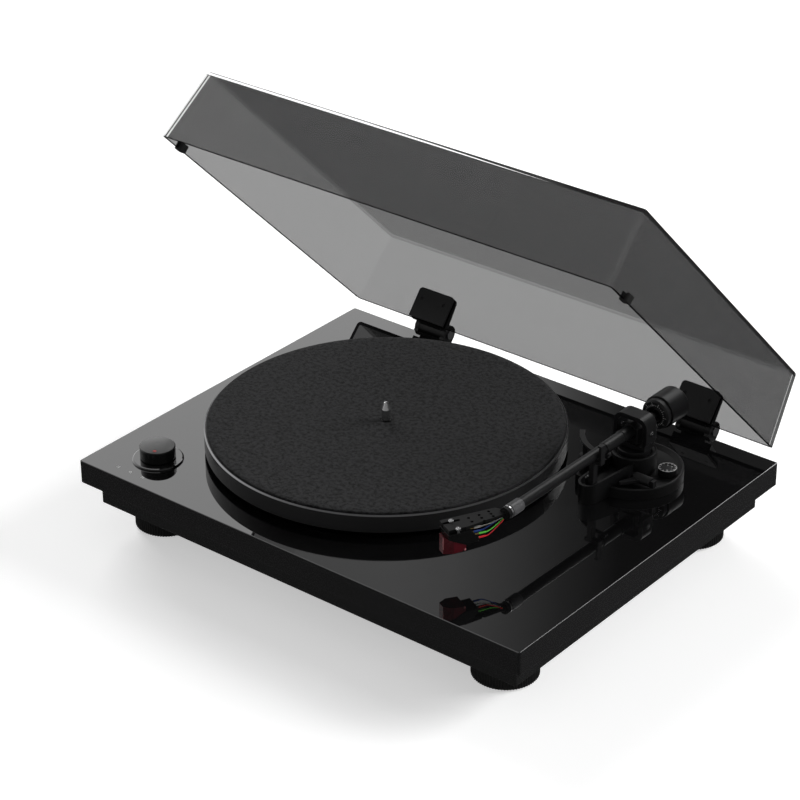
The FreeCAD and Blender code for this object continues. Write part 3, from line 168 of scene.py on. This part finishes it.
# ------------------------------------------------------------- node helpers ---
class Shader:
    """A node tree with one-line calls for the nodes that the surfaces share."""

    def __init__(self, owner):
        owner.use_nodes = True
        self.tree = owner.node_tree
        self.tree.nodes.clear()

    def add(self, kind, **settings):
        node = self.tree.nodes.new(kind)
        for key, value in settings.items():
            setattr(node, key, value)
        return node

    def put(self, socket, value):
        """Link an output, or set a plain value, on an input socket."""
        if isinstance(value, bpy.types.NodeSocket):
            self.tree.links.new(value, socket)
        else:
            socket.default_value = value

    def math(self, operation, a, b=0.0):
        node = self.add("ShaderNodeMath", operation=operation)
        self.put(node.inputs[0], a)
        self.put(node.inputs[1], b)
        return node.outputs[0]

    def times(self, *factors):
        product = factors[0]
        for factor in factors[1:]:
            product = self.math("MULTIPLY", product, factor)
        return product

    def other(self, mask):
        """One minus a mask."""
        return self.math("SUBTRACT", 1.0, mask)

    def dot(self, vector, direction):
        node = self.add("ShaderNodeVectorMath", operation="DOT_PRODUCT")
        self.put(node.inputs[0], vector)
        node.inputs[1].default_value = direction
        return node.outputs["Value"]

    def faces(self, normal, direction):
        """Mask of the surfaces that face along a direction, either way."""
        along = self.math("ABSOLUTE", self.dot(normal, direction))
        return self.math("GREATER_THAN", along, 0.7)

    def ramp(self, value, low, high, start=0.0, end=1.0):
        """Smooth run from low to high as value goes from start to end."""
        node = self.add("ShaderNodeMapRange", interpolation_type="SMOOTHSTEP")
        for socket, v in zip(node.inputs, (value, start, end, low, high)):
            self.put(socket, v)
        return node.outputs[0]

    def mix(self, factor, a, b):
        node = self.add("ShaderNodeMix", data_type="RGBA")
        self.put(node.inputs[0], factor)
        self.put(node.inputs[6], a)
        self.put(node.inputs[7], b)
        return node.outputs[2]

    def blend(self, factor, a, b):
        node = self.add("ShaderNodeMixShader")
        self.put(node.inputs[0], factor)
        self.put(node.inputs[1], a)
        self.put(node.inputs[2], b)
        return node.outputs[0]

    def noise(self, scale, detail=3.0, stretch=(1, 1, 1)):
        """Noise over the object's own coordinates, scale in waves a metre."""
        coord = self.add("ShaderNodeTexCoord")
        mapping = self.add("ShaderNodeMapping")
        mapping.inputs["Scale"].default_value = stretch
        self.put(mapping.inputs["Vector"], coord.outputs["Object"])
        node = self.add("ShaderNodeTexNoise")
        node.inputs["Scale"].default_value = scale
        node.inputs["Detail"].default_value = detail
        self.put(node.inputs["Vector"], mapping.outputs[0])
        return node.outputs["Fac"]

    def bump(self, height, depth, normal=None):
        node = self.add("ShaderNodeBump")
        node.inputs["Strength"].default_value = 1.0
        node.inputs["Distance"].default_value = depth
        self.put(node.inputs["Height"], height)
        if normal:
            self.put(node.inputs["Normal"], normal)
        return node.outputs[0]

    def bevel(self, radius):
        node = self.add("ShaderNodeBevel", samples=6)
        node.inputs["Radius"].default_value = radius
        return node.outputs[0]

    def finish(self, surface, kind="Material"):
        out = self.add("ShaderNodeOutput" + kind)
        self.put(out.inputs["Surface"], surface)


def grey(level):
    return (level, level, level, 1)


def tone(colour, share):
    return [c * share for c in colour] + [1]


# ---------------------------------------------------------------- materials ---
def surface(name, base, rough, shade=0.15, grain=900, bump=0.0, edge=0.0, stretch=(1, 1, 1),
            **sockets):
    """A Principled material whose colour and roughness vary a little, with a fine bump."""
    mat = bpy.data.materials.new(name)
    sh = Shader(mat)
    bsdf = sh.add("ShaderNodeBsdfPrincipled")
    fleck = sh.noise(grain, stretch=stretch)
    sh.put(bsdf.inputs["Base Color"], sh.mix(fleck, tone(base, 1 - shade), tone(base, 1 + shade)))
    patch = sh.noise(grain / 12, stretch=stretch)
    sh.put(bsdf.inputs["Roughness"], sh.ramp(patch, rough * 0.85, min(rough * 1.15, 1.0)))
    normal = sh.bevel(edge) if edge else None
    if bump:
        normal = sh.bump(sh.noise(grain * 2, stretch=stretch), bump, normal)
    if normal:
        sh.put(bsdf.inputs["Normal"], normal)
    for key, value in sockets.items():
        bsdf.inputs[key.replace("_", " ")].default_value = value
    sh.finish(bsdf.outputs[0])
    return mat


def felt():
    """Pressed wool: light and dark flecks, a fibrous bump and hardly any shine."""
    mat = bpy.data.materials.new("mat_felt")
    sh = Shader(mat)
    bsdf = sh.add("ShaderNodeBsdfPrincipled")
    clumps = sh.noise(300, detail=4)
    fibres = sh.noise(1000, detail=4)
    mottle = sh.math("ADD", sh.times(clumps, 0.55), sh.times(fibres, 0.45))
    shade = sh.ramp(mottle, 0.0, 1.0, 0.36, 0.58)
    sh.put(bsdf.inputs["Base Color"], sh.mix(shade, grey(0.004), (0.027, 0.027, 0.028, 1)))
    sh.put(bsdf.inputs["Roughness"], sh.ramp(fibres, 0.90, 1.0))
    sh.put(bsdf.inputs["Normal"], sh.bump(mottle, 0.0006))
    bsdf.inputs["Specular IOR Level"].default_value = 0.12
    bsdf.inputs["Sheen Weight"].default_value = 0.04
    bsdf.inputs["Sheen Roughness"].default_value = 0.5
    sh.finish(bsdf.outputs[0])
    return mat


def acrylic(cover):
    """Smoked clear acrylic: each of a wall's two faces lets through part of the light.

    Where two walls meet, the corner is solid and the eye looks along it. Such a corner is
    painted black, a painted shade, but for the left of the front top one and a line up the
    front left one, painted nearly clear as a painted highlight of the bright background.
    The sawn rim of the opening is painted black, a painted shade.
    """
    tilt = math.radians(LID_TILT)
    up = Vector((0, math.sin(tilt), math.cos(tilt)))
    front = Vector((0, -math.cos(tilt), math.sin(tilt)))
    side = Vector((1, 0, 0))
    spans = [[v.co.dot(way) for v in cover.data.vertices] for way in (up, front, side)]
    (rim, top), (rear, fore), (left, right) = [(min(span), max(span)) for span in spans]
    mat = bpy.data.materials.new("cover_acrylic")
    sh = Shader(mat)
    coord = sh.add("ShaderNodeTexCoord")
    place = coord.outputs["Object"]
    normal = coord.outputs["Normal"]
    weight = sh.add("ShaderNodeLayerWeight")
    weight.inputs["Blend"].default_value = 0.5
    facing = weight.outputs["Facing"]
    shadow = sh.add("ShaderNodeLightPath").outputs["Is Shadow Ray"]

    height, depth, across = (sh.dot(place, way) for way in (up, front, side))
    below = sh.math("SUBTRACT", top, height)
    lean = sh.times(sh.math("SUBTRACT", height, rim), LID_DRAFT / (top - rim))

    def near(level, value, reach):
        """Mask of what lies within reach of a wall's outer face, which leans inwards."""
        gap = sh.math("ABSOLUTE", sh.math("SUBTRACT", level, value))
        return sh.math("LESS_THAN", sh.math("SUBTRACT", gap, lean), reach)

    def face(way, level, value):
        """Mask of a wall's outer face; a normal always points to the eye's side."""
        looks = sh.math("GREATER_THAN", sh.dot(normal, way), 0.15)
        outer = sh.math("MAXIMUM", near(level, value, LID_WALL / 2),
                        sh.math("LESS_THAN", below, LID_WALL))
        return sh.times(looks, outer, near(level, value, LID_WALL * 2))

    # Plain walls and top, each given its own tint as painted light and shade.
    sides = sh.ramp(across, *SIDE_TINTS, -0.1, 0.1)
    ends = sh.ramp(depth, *END_TINTS, rear + 0.05, fore - 0.05)
    wall = sh.mix(sh.faces(normal, side), ends, sides)
    wall = sh.mix(sh.ramp(facing, 0.0, 1.0, 0.60, 0.85), wall, grey(STEEP_WALL))
    share = sh.ramp(across, 1.0, 0.0, PIPED_END - 0.04, PIPED_END)
    roof = sh.math("MULTIPLY", sh.ramp(facing, TOP_TINT, STEEP_TOP, 0.85, 0.40),
                   sh.ramp(sh.noise(40), 0.99, 1.01))
    # Painted highlight: a nearly clear band along the front of the top, on its left part.
    piped_highlight = sh.times(share, near(fore, depth, PIPED_REACH),
                     sh.math("LESS_THAN", below, LID_WALL / 2))
    smoke = sh.mix(sh.faces(normal, up), wall, sh.mix(piped_highlight, roof, grey(PIPED_HIGHLIGHT)))

    # Upright corners: front right, front left and rear right, painted as bands of highlight and
    # shade.
    fronts = face(front, fore, depth)
    rights = face(side, right, across)
    lefts = face(side, left, across)
    bands = [(fronts, right, across, *FRONT_RIGHT), (lefts, fore, depth, *LEFT_FRONT)]
    upright = sh.math("GREATER_THAN", sh.dot(normal, front), 0.15)
    upright = sh.times(upright, near(fore, depth, LID_WALL * 0.8))
    bands += [(upright, left, across, *band) for band in FRONT_LEFT]
    bands += [(rights, rear, depth, *band) for band in REAR_RIGHT]
    for mask, corner, value, reach, level in bands:
        smoke = sh.mix(sh.times(mask, near(corner, value, reach)), smoke, grey(level))

    # Top corners, and the rim: painted black lines of shade, and a painted white band of
    # highlight.
    edge = sh.math("MAXIMUM", sh.times(fronts, sh.math("LESS_THAN", below, TOP_FRONT)),
                   sh.times(rights, sh.math("LESS_THAN", below, TOP_RIGHT)))
    width = sh.ramp(across, TOP_LINE_LEFT, TOP_LINE_RIGHT, -0.1, 0.2)
    line = sh.math("LESS_THAN", below, width)
    strip = sh.times(fronts, share, sh.math("LESS_THAN", below, TOP_STRIP))
    band = sh.mix(strip, grey(TOP_BAND), grey(PIPED_HIGHLIGHT))
    smoke = sh.mix(edge, smoke, sh.mix(line, band, grey(TOP_LINE)))
    is_rim = sh.math("LESS_THAN", height, rim + RIM_BAND)
    smoke = sh.mix(is_rim, smoke, grey(RIM_SHADE))

    clear = sh.add("ShaderNodeBsdfTransparent")
    sh.put(clear.inputs["Color"], sh.mix(shadow, smoke, grey(SHADOW_TINT)))
    gloss = sh.add("ShaderNodeBsdfGlossy")
    gloss.inputs["Roughness"].default_value = 0.02
    solid = sh.math("MAXIMUM", sh.times(upright, near(left, across, FRONT_LEFT[0][0])),
                    sh.times(rights, near(rear, depth, REAR_RIGHT[0][0])))
    solid = sh.math("MAXIMUM", solid, edge)
    shine = sh.times(sh.ramp(facing, 0.015, 0.09, 0.4, 0.95), sh.other(solid))
    sh.finish(sh.blend(shine, clear.outputs[0], gloss.outputs[0]))
    return mat


def knob_plastic(knob):
    """Moulded knob: a polished black skirt under a satin domed top."""
    low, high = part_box(knob)
    mat = bpy.data.materials.new("knob_plastic")
    sh = Shader(mat)
    coord = sh.add("ShaderNodeTexCoord")
    height = sh.dot(coord.outputs["Object"], Vector((0, 0, 1)))
    top = sh.ramp(height, 0.0, 1.0, high.z - KNOB_DOME - 0.0005, high.z - KNOB_DOME)
    bsdf = sh.add("ShaderNodeBsdfPrincipled")
    brushed = sh.noise(700)
    satin = sh.mix(brushed, grey(0.055), grey(0.066))
    sh.put(bsdf.inputs["Base Color"], sh.mix(top, grey(0.004), satin))
    sh.put(bsdf.inputs["Roughness"], sh.ramp(top, 0.16, 0.34))
    sh.put(bsdf.inputs["Normal"], sh.bevel(0.0003))
    sh.finish(bsdf.outputs[0])
    return mat


def spindle_steel():
    """Ground steel: an upright pin, its polished cone tip painted a brighter steel as a painted
    highlight, and its foot in the mat painted dark as a painted shade.
    """
    mat = bpy.data.materials.new("spindle_steel")
    sh = Shader(mat)
    height = sh.dot(sh.add("ShaderNodeTexCoord").outputs["Object"], Vector((0, 0, 1)))
    cone_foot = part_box("spindle")[1].z - SPINDLE_CONE
    mat_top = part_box("platter_mat")[1].z
    cone = sh.ramp(height, 0.0, 1.0, cone_foot - 0.0001, cone_foot + 0.0001)
    bsdf = sh.add("ShaderNodeBsdfPrincipled")
    # Painted shade: the steel up to just above the mat is dark.
    clear = sh.ramp(height, 0.0, 1.0, mat_top + 0.0004, mat_top + 0.0008)
    ground = sh.mix(sh.noise(900, stretch=(1, 1, 8)), grey(0.66), grey(0.76))
    ground = sh.mix(clear, grey(0.12), ground)
    # Painted highlight: the cone gets a brighter steel than the rest of the pin.
    sh.put(bsdf.inputs["Base Color"], sh.mix(cone, ground, grey(1.0)))
    sh.put(bsdf.inputs["Roughness"], sh.ramp(cone, 0.10, 0.25))
    bsdf.inputs["Metallic"].default_value = 1.0
    sh.finish(bsdf.outputs[0])
    return mat


BLACK = (0.006, 0.006, 0.0063)

materials = {
    "plinth_lacquer": surface("plinth_lacquer", (0.0035, 0.0035, 0.0037), 0.03, grain=60,
                              IOR=1.5, Coat_Weight=1.0, Coat_Roughness=0.01, Coat_IOR=1.6),
    "cover_acrylic": acrylic(nodes["dust_cover"]),
    "black_satin": surface("black_satin", BLACK, 0.36, bump=0.00002, edge=0.0004),
    "platter_alloy": surface("platter_alloy", (0.024, 0.024, 0.0245), 0.24, edge=0.0007,
                             stretch=(1, 1, 12), Specular_IOR_Level=0.35, IOR=1.3),
    "bright_steel": surface("bright_steel", (0.55, 0.55, 0.56), 0.22, stretch=(1, 1, 8),
                            Metallic=1.0, edge=0.0002),
    "chrome": surface("chrome", (0.85, 0.85, 0.86), 0.05, shade=0.04, Metallic=1.0,
                      edge=0.0002),
    "black_plastic": surface("black_plastic", (0.010, 0.010, 0.0105), 0.42, bump=0.00002,
                             edge=0.0003),
    "gloss_black": surface("gloss_black", (0.005, 0.005, 0.005), 0.12, edge=0.0002),
    "black_rubber": surface("black_rubber", (0.012, 0.012, 0.012), 0.7, bump=0.00005,
                            edge=0.0006),
    "mat_felt": felt(),
    "red_plastic": surface("red_plastic", (0.085, 0.005, 0.010), 0.28, edge=0.0005),
    "dot_red": surface("dot_red", (0.30, 0.02, 0.02), 0.35),
    "zinc_steel": surface("zinc_steel", (0.5, 0.5, 0.5), 0.35, Metallic=1.0, edge=0.0002),
    "brass": surface("brass", (0.6, 0.45, 0.2), 0.3, Metallic=1.0, edge=0.0002),
    "gold_contact": surface("gold_contact", (0.8, 0.58, 0.25), 0.2, Metallic=1.0, edge=0.0001),
    "board_green": surface("board_green", (0.02, 0.12, 0.04), 0.4),
    "wire_cover": surface("wire_cover", (0.5, 0.03, 0.03), 0.4),
    "socket_white": surface("socket_white", (0.75, 0.75, 0.73), 0.35, edge=0.0002),
}
# Pale red of the stylus pin, also used for the painted highlight on the grip's corner.
pale_red_and_highlight = surface("pale_red_and_highlight", (0.42, 0.16, 0.17), 0.25)
white_print = surface("white_print", (0.70, 0.70, 0.70), 0.5)
polished_edge = surface("polished_edge", (0.26, 0.26, 0.265), 0.30, Metallic=1.0)

# Nodes whose look isn't the plain one of their slot.
SPECIAL = {
    "spindle": spindle_steel(),
    "lift_bar": materials["black_satin"],
    "knob_ring": materials["plinth_lacquer"],
    "speed_knob": knob_plastic("speed_knob"),
    "leaf_bolts": materials["black_satin"],
    "headshell": surface("matt_black", (0.007, 0.007, 0.0072), 0.55, Specular_IOR_Level=0.25,
                         edge=0.0003),
    "lock_collar": surface("satin_grey", (0.065, 0.065, 0.067), 0.30, stretch=(1, 1, 8),
                           edge=0.0003),
}


def dress(obj, mat):
    obj.data.materials.clear()
    obj.data.materials.append(mat)


def dress_nodes():
    for part in frame["record"]["subparts"]:
        name = part["node"]
        dress(nodes[name], SPECIAL.get(name, materials[part["material_slot"]]))


# ------------------------------------------------------------- mesh helpers ---
# Frames are matrices that take millimetres in a piece's own axes to the row frame.
def frame_at(point, turn=Matrix()):
    return Matrix.Translation(point) @ turn @ Matrix.Scale(0.001, 4)


def turned_frame(parent, point, degrees=0.0, axis="Z"):
    return parent @ Matrix.Translation(point) @ Matrix.Rotation(math.radians(degrees), 4, axis)


def centre(node):
    low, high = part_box(node)
    return (low + high) / 2


def lathe(bm, profile, place, segments=96, wave=None):
    """Turn a closed outline of (radius, height) points about the z axis of a frame."""
    rings = []
    for k in range(segments):
        a = 2 * math.pi * k / segments
        ring = [Vector((r * math.cos(a), r * math.sin(a), z)) for r, z in profile]
        if wave:
            ring = [wave(p) for p in ring]
        rings.append([bm.verts.new(place @ p) for p in ring])
    count = len(profile)
    for k in range(segments):
        this, following = rings[k], rings[(k + 1) % segments]
        for i in range(count):
            j = (i + 1) % count
            bm.faces.new((this[i], following[i], following[j], this[j]))


def loft(bm, outline, levels, place):
    """Closed solid over an outline of (x, y) points; levels are (height, inset share)."""
    middle = sum((Vector((*p, 0)) for p in outline), Vector()) / len(outline)
    rings = []
    for z, share in levels:
        ring = [middle + (Vector((*p, 0)) - middle) * share + Vector((0, 0, z)) for p in outline]
        rings.append([bm.verts.new(place @ p) for p in ring])
    count = len(outline)
    for low, high in zip(rings, rings[1:]):
        for i in range(count):
            j = (i + 1) % count
            bm.faces.new((low[i], low[j], high[j], high[i]))
    bm.faces.new(rings[0][::-1])
    bm.faces.new(rings[-1])


def tick(bm, place, length, width, thick=0.06):
    """A printed or moulded line along x with rounded ends."""
    outline = []
    for end in (-1, 1):
        for k in range(5):
            a = math.radians(end * 90 + (k - 2) * 45 - 90)
            outline.append((end * length / 2 + width / 2 * math.cos(a), width / 2 * math.sin(a)))
    loft(bm, outline, ((0, 1.0), (thick, 0.97)), place)


def numeral(bm, text, size, place):
    """Raised figures centred on a frame's origin, facing along its z axis."""
    curve = bpy.data.curves.new("numeral", "FONT")
    curve.body = text
    curve.size = size
    curve.align_x = "CENTER"
    curve.align_y = "CENTER"
    curve.extrude = 0.03
    holder = bpy.data.objects.new("numeral", curve)
    mesh = bpy.data.meshes.new_from_object(holder)
    mesh.transform(place)
    bm.from_mesh(mesh)
    bpy.data.objects.remove(holder)
    bpy.data.curves.remove(curve)
    bpy.data.meshes.remove(mesh)


def piece(name, bm, body, slot, mat=None):
    """Make an object of a bmesh that rides a CAD body, with the material given, else its slot's
    finish.
    """
    bmesh.ops.recalc_face_normals(bm, faces=bm.faces)
    mesh = bpy.data.meshes.new(name)
    bm.to_mesh(mesh)
    bm.free()
    mesh.shade_smooth()
    mesh.set_sharp_from_angle(angle=math.radians(32))
    obj = bpy.data.objects.new(name, mesh)
    return settle(obj, body, slot, mat)


def settle(obj, body, slot, mat=None):
    bpy.context.scene.collection.objects.link(obj)
    dress(obj, mat or materials[slot])
    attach(obj, body)
    return obj


# ------------------------------------------------------------ detail pieces ---
arm_axis = Vector((*centre("arm_pillar").xy, centre("pivot_screws").z))
ARM = frame_at(arm_axis, Matrix.Rotation(math.radians(ARM_YAW), 4, "Z"))
HEAD = turned_frame(ARM, HEAD_AT, HEAD_ANGLE)


def make_felt_mat():
    """Soft disc with rounded edges that isn't quite flat."""
    low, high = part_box("platter_mat")
    radius = (high.x - low.x) * 500
    top = (high.z - low.z) * 1000

    def wave(p):
        lift = noise.noise(p * 0.035) + 0.5 * noise.noise(p * 0.11)
        return p - Vector((0, 0, 0.06 * (1 + lift))) if p.z > 0.2 else p

    inner = [(MAT_HOLE, 0.0), (MAT_HOLE, top - 0.5), (MAT_HOLE + 0.2, top - 0.1),
             (MAT_HOLE + 0.7, top)]
    outer = [(radius - 1.0, top), (radius - 0.45, top - 0.15), (radius - 0.1, top - 0.5),
             (radius, top - 0.9), (radius - 0.1, 0.0)]
    span = [(MAT_HOLE + 6 + (radius - MAT_HOLE - 12) * i / 24, top) for i in range(25)]
    bm = bmesh.new()
    place = frame_at(Vector((*centre("platter_mat").xy, low.z)))
    lathe(bm, inner + span + outer, place, segments=240, wave=wave)
    mat = piece("felt_mat", bm, "platter_body", "mat_felt")
    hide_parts("platter_mat")


def make_platter_edge():
    """Narrow polished chamfer round the top of the platter."""
    low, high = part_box("platter")
    radius = (high.x - low.x) * 500
    inside, outside = radius - CHAMFER, radius + CHAMFER_SKIN
    profile = [(inside - 0.15, -0.10), (inside - 0.10, CHAMFER_SKIN),
               (inside + 0.02, CHAMFER_SKIN), (outside, 0.02 - CHAMFER),
               (outside, -0.10 - CHAMFER), (radius - 0.10, -0.15 - CHAMFER)]
    bm = bmesh.new()
    lathe(bm, profile, frame_at(Vector((*centre("platter").xy, high.z))), segments=240)
    piece("platter_chamfer", bm, "platter_body", "platter_alloy", polished_edge)


def make_knob_marks():
    """Three speeds printed on the plinth in front of the knob."""
    low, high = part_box("plinth_slab")
    knob = centre("speed_knob")
    bm = bmesh.new()
    for k, text in zip((-1, 0, 1), SPEEDS):
        x = knob.x + SPEEDS_AT[0] + SPEED_PITCH * k
        numeral(bm, text, 3.3, frame_at(Vector((x, knob.y + SPEEDS_AT[1], high.z))))
    piece("speed_marks", bm, "base", "socket_white", white_print)


def slotted_head(bm, place, radius, height, slot):
    """Cheese head of a screw: a chamfered disc, cut across by a slot."""
    lathe(bm, [(0.05, 0.0), (radius, 0.0), (radius, height * 0.55), (0.05, height * 0.55)],
          place, segments=40)
    half = math.degrees(math.asin(slot / 2 / radius))
    for side in (0, 180):
        outline = []
        for k in range(17):
            a = math.radians(side + half + (180 - 2 * half) * k / 16)
            outline.append((radius * math.cos(a), radius * math.sin(a)))
        loft(bm, outline, ((height * 0.5, 1.0), (height * 0.85, 1.0), (height, 0.9)), place)


def make_cartridge_screws():
    bm = bmesh.new()
    for side in (-1, 1):
        y = side * SCREW_PITCH / 2
        seat = turned_frame(HEAD, (0, y, SHELL_TOP), SCREW_TURN)
        slotted_head(bm, seat, *SCREW_HEAD)
        radius, length = SCREW_SHANK
        shank = [(0.05, -length), (radius, -length), (radius, 0.1), (0.05, 0.1)]
        lathe(bm, shank, seat, segments=24)
    screws = piece("headshell_screws", bm, "arm", "chrome")
    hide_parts("cartridge_screws")


def make_pivot_screws():
    """Slotted faces of the two screws that the arm tilts on."""
    bm = bmesh.new()
    for side in (-1, 1):
        place = turned_frame(ARM, (side * PIVOT_SCREWS, 0, 0), side * 90, "Y")
        slotted_head(bm, turned_frame(place, (0, 0, 0), PIVOT_TURN), *PIVOT_HEAD)
    piece("pivot_screw_heads", bm, "arm_yoke", "bright_steel", materials["chrome"])


def make_stylus_marks():
    """Pale strip on the front corner of the stylus grip, a painted highlight, and the pin it
    clips on by.
    """
    bm = bmesh.new()
    # Painted highlight: a pale strip where light catches the grip's front corner.
    edge_highlight = [(11.0, 3.0), (11.45, 3.1), (11.5, 3.6), (11.0, 3.8)]
    loft(bm, edge_highlight, ((-15.5, 0.6), (-14.5, 1.0), (-5.5, 1.0), (-4.8, 0.6)), HEAD)
    pin = turned_frame(HEAD, (-5.0, 7.5, -16.9), -90, "X")
    lathe(bm, [(0.05, 0), (0.9, 0), (0.85, 0.5), (0.5, 0.75), (0.05, 0.8)], pin, segments=24)
    piece("stylus_highlight_and_pin", bm, "arm", "red_plastic", pale_red_and_highlight)


def make_leads():
    """Four thin wires from clips on the cartridge pins to the neck of the headshell."""
    made = []
    for name, (colour, y, z, neck) in LEADS.items():
        slack, sag = LEAD_SLACK
        end, height = LEAD_NECK
        stops = [((x, y, z), wide) for x, wide in LEAD_CLIP]
        stops += [((slack, (y + neck) / 2, z / 2 + sag), 1), ((end, neck, height), 1)]
        curve = bpy.data.curves.new(name, "CURVE")
        curve.dimensions = "3D"
        curve.bevel_depth = LEAD_RADIUS
        curve.bevel_resolution = 3
        curve.use_fill_caps = True
        spline = curve.splines.new("NURBS")
        spline.points.add(len(stops) - 1)
        for spot, (at, wide) in zip(spline.points, stops):
            spot.co = (*(HEAD @ Vector(at)), 1)
            spot.radius = wide
        spline.order_u = 3
        spline.use_endpoint_u = True
        spline.resolution_u = 10
        wire = bpy.data.objects.new(name, curve)
        made.append(settle(wire, "arm", "wire_cover", surface(name, colour, 0.4, shade=0.1)))
    for wire in made:
        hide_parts("lead_wires")


def make_force_scale():
    """White ticks and figures on the front of the tracking force ring."""
    face = turned_frame(ARM, (0, DIAL_FACE, 0), 90, "X")
    bm = bmesh.new()
    for k in range(30):
        out = turned_frame(face, (0, 0, 0), k * 12)
        if k % 3:
            tick(bm, turned_frame(out, (FORCE_TICKS, 0, 0)), 0.7, 0.35)
        else:
            tick(bm, turned_frame(out, (FORCE_TICKS + 0.1, 0, 0)), 1.0, 0.45)
            numeral(bm, str(k // 3), 1.8, turned_frame(out, (FORCE_FIGURES, 0, 0), -90))
    piece("force_scale", bm, "force_dial", "socket_white", white_print)


def make_skate_scale():
    """Ticks, figures and a bright bead round the top of the anti-skate dial."""
    low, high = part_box("antiskate_dial")
    top = frame_at(Vector((*centre("antiskate_dial").xy, high.z)))
    bm = bmesh.new()
    lathe(bm, [(7.05, -0.10), (7.35, -0.12), (7.35, 0.02), (7.05, 0.05)], top)
    for k in range(12):
        out = turned_frame(top, (0, 0, -0.03), k * 30)
        tick(bm, turned_frame(out, (SKATE_TICKS, 0, 0)), 0.9, 0.45)
    inside = turned_frame(top, (0, 0, -0.4))
    for k in range(4):
        out = turned_frame(inside, (0, 0, 0), k * 60 - 60)
        numeral(bm, str(k), 2.2, turned_frame(out, (SKATE_FIGURES, 0, 0), -90))
    piece("skate_scale", bm, "skate", "socket_white", white_print)


# ------------------------------------------------------------------- studio ---
def add_world():
    """White to the eye; polished surfaces mirror a room with one wide bright side."""
    world = bpy.data.worlds.new("studio")
    bpy.context.scene.world = world
    sh = Shader(world)
    path = sh.add("ShaderNodeLightPath")
    coord = sh.add("ShaderNodeTexCoord")
    split = sh.add("ShaderNodeSeparateXYZ")
    sh.put(split.inputs[0], coord.outputs["Generated"])
    x, y, z = split.outputs
    turn = sh.math("ARCTAN2", y, x)
    share = sh.math("ADD", sh.math("DIVIDE", turn, 2 * math.pi), 0.5)
    room = sh.add("ShaderNodeValToRGB")
    room.color_ramp.interpolation = "EASE"
    stops = room.color_ramp.elements
    while len(stops) < len(ROOM):
        stops.new(0.5)
    for stop, (azimuth, level) in zip(stops, ROOM):
        stop.position = azimuth / 360 + 0.5
        stop.color = grey(level / ROOM_PEAK)
    sh.put(room.inputs[0], share)
    above = sh.ramp(z, 0.0, 1.0, *HORIZON)
    mirrored = sh.math("ADD", sh.times(room.outputs["Color"], ROOM_PEAK, above),
                       sh.times(BELOW_HORIZON, sh.other(above)))
    seen = sh.math("MAXIMUM", path.outputs["Is Camera Ray"], path.outputs["Is Transmission Ray"])
    glossy = path.outputs["Is Glossy Ray"]
    plain = sh.other(sh.math("MAXIMUM", seen, glossy))
    level = sh.math("ADD", sh.times(glossy, mirrored), sh.times(plain, AMBIENT))
    background = sh.add("ShaderNodeBackground")
    sh.put(background.inputs["Strength"], sh.math("MAXIMUM", level, seen))
    sh.finish(background.outputs[0], "World")


def add_floor():
    """White paper, a little brighter to the eye, so that it meets the white background."""
    mesh = bpy.data.meshes.new("floor")
    bm = bmesh.new()
    bmesh.ops.create_circle(bm, cap_ends=True, radius=FLOOR_RADIUS, segments=96)
    bm.to_mesh(mesh)
    bm.free()
    floor = bpy.data.objects.new("floor", mesh)
    bpy.context.scene.collection.objects.link(floor)
    mat = bpy.data.materials.new("floor_paper")
    sh = Shader(mat)
    path = sh.add("ShaderNodeLightPath")
    paper = sh.add("ShaderNodeBsdfDiffuse")
    sh.put(paper.inputs["Color"], sh.mix(sh.noise(3), grey(0.78), grey(0.80)))
    glow = sh.add("ShaderNodeEmission")
    seen = sh.math("MAXIMUM", path.outputs["Is Camera Ray"], path.outputs["Is Transmission Ray"])
    sh.put(glow.inputs["Strength"], sh.times(seen, FLOOR_GLOW))
    both = sh.add("ShaderNodeAddShader")
    sh.put(both.inputs[0], paper.outputs[0])
    sh.put(both.inputs[1], glow.outputs[0])
    sh.finish(both.outputs[0])
    dress(floor, mat)
    floor.visible_glossy = False


def add_sun(name, azimuth, elevation, strength, spread, mirrored):
    """A distant soft lamp from an azimuth and elevation, for shine or for matt surfaces."""
    data = bpy.data.lights.new(name, "SUN")
    data.energy = strength
    data.angle = math.radians(spread)
    lamp = bpy.data.objects.new(name, data)
    az, el = math.radians(azimuth), math.radians(elevation)
    source = Vector((math.cos(az) * math.cos(el), math.sin(az) * math.cos(el), math.sin(el)))
    lamp.rotation_euler = source.to_track_quat("Z", "Y").to_euler()
    lamp.visible_glossy = mirrored
    lamp.visible_diffuse = not mirrored
    bpy.context.scene.collection.objects.link(lamp)


add_camera()
dress_nodes()
make_felt_mat()
make_platter_edge()
make_knob_marks()
make_cartridge_screws()
make_pivot_screws()
make_stylus_marks()
make_leads()
make_force_scale()
make_skate_scale()
add_world()
add_floor()
for lamp_name, lamp_values in LAMPS.items():
    add_sun(lamp_name, *lamp_values)

scene = bpy.context.scene
scene.view_settings.view_transform = "Standard"

bpy.context.view_layer.update()
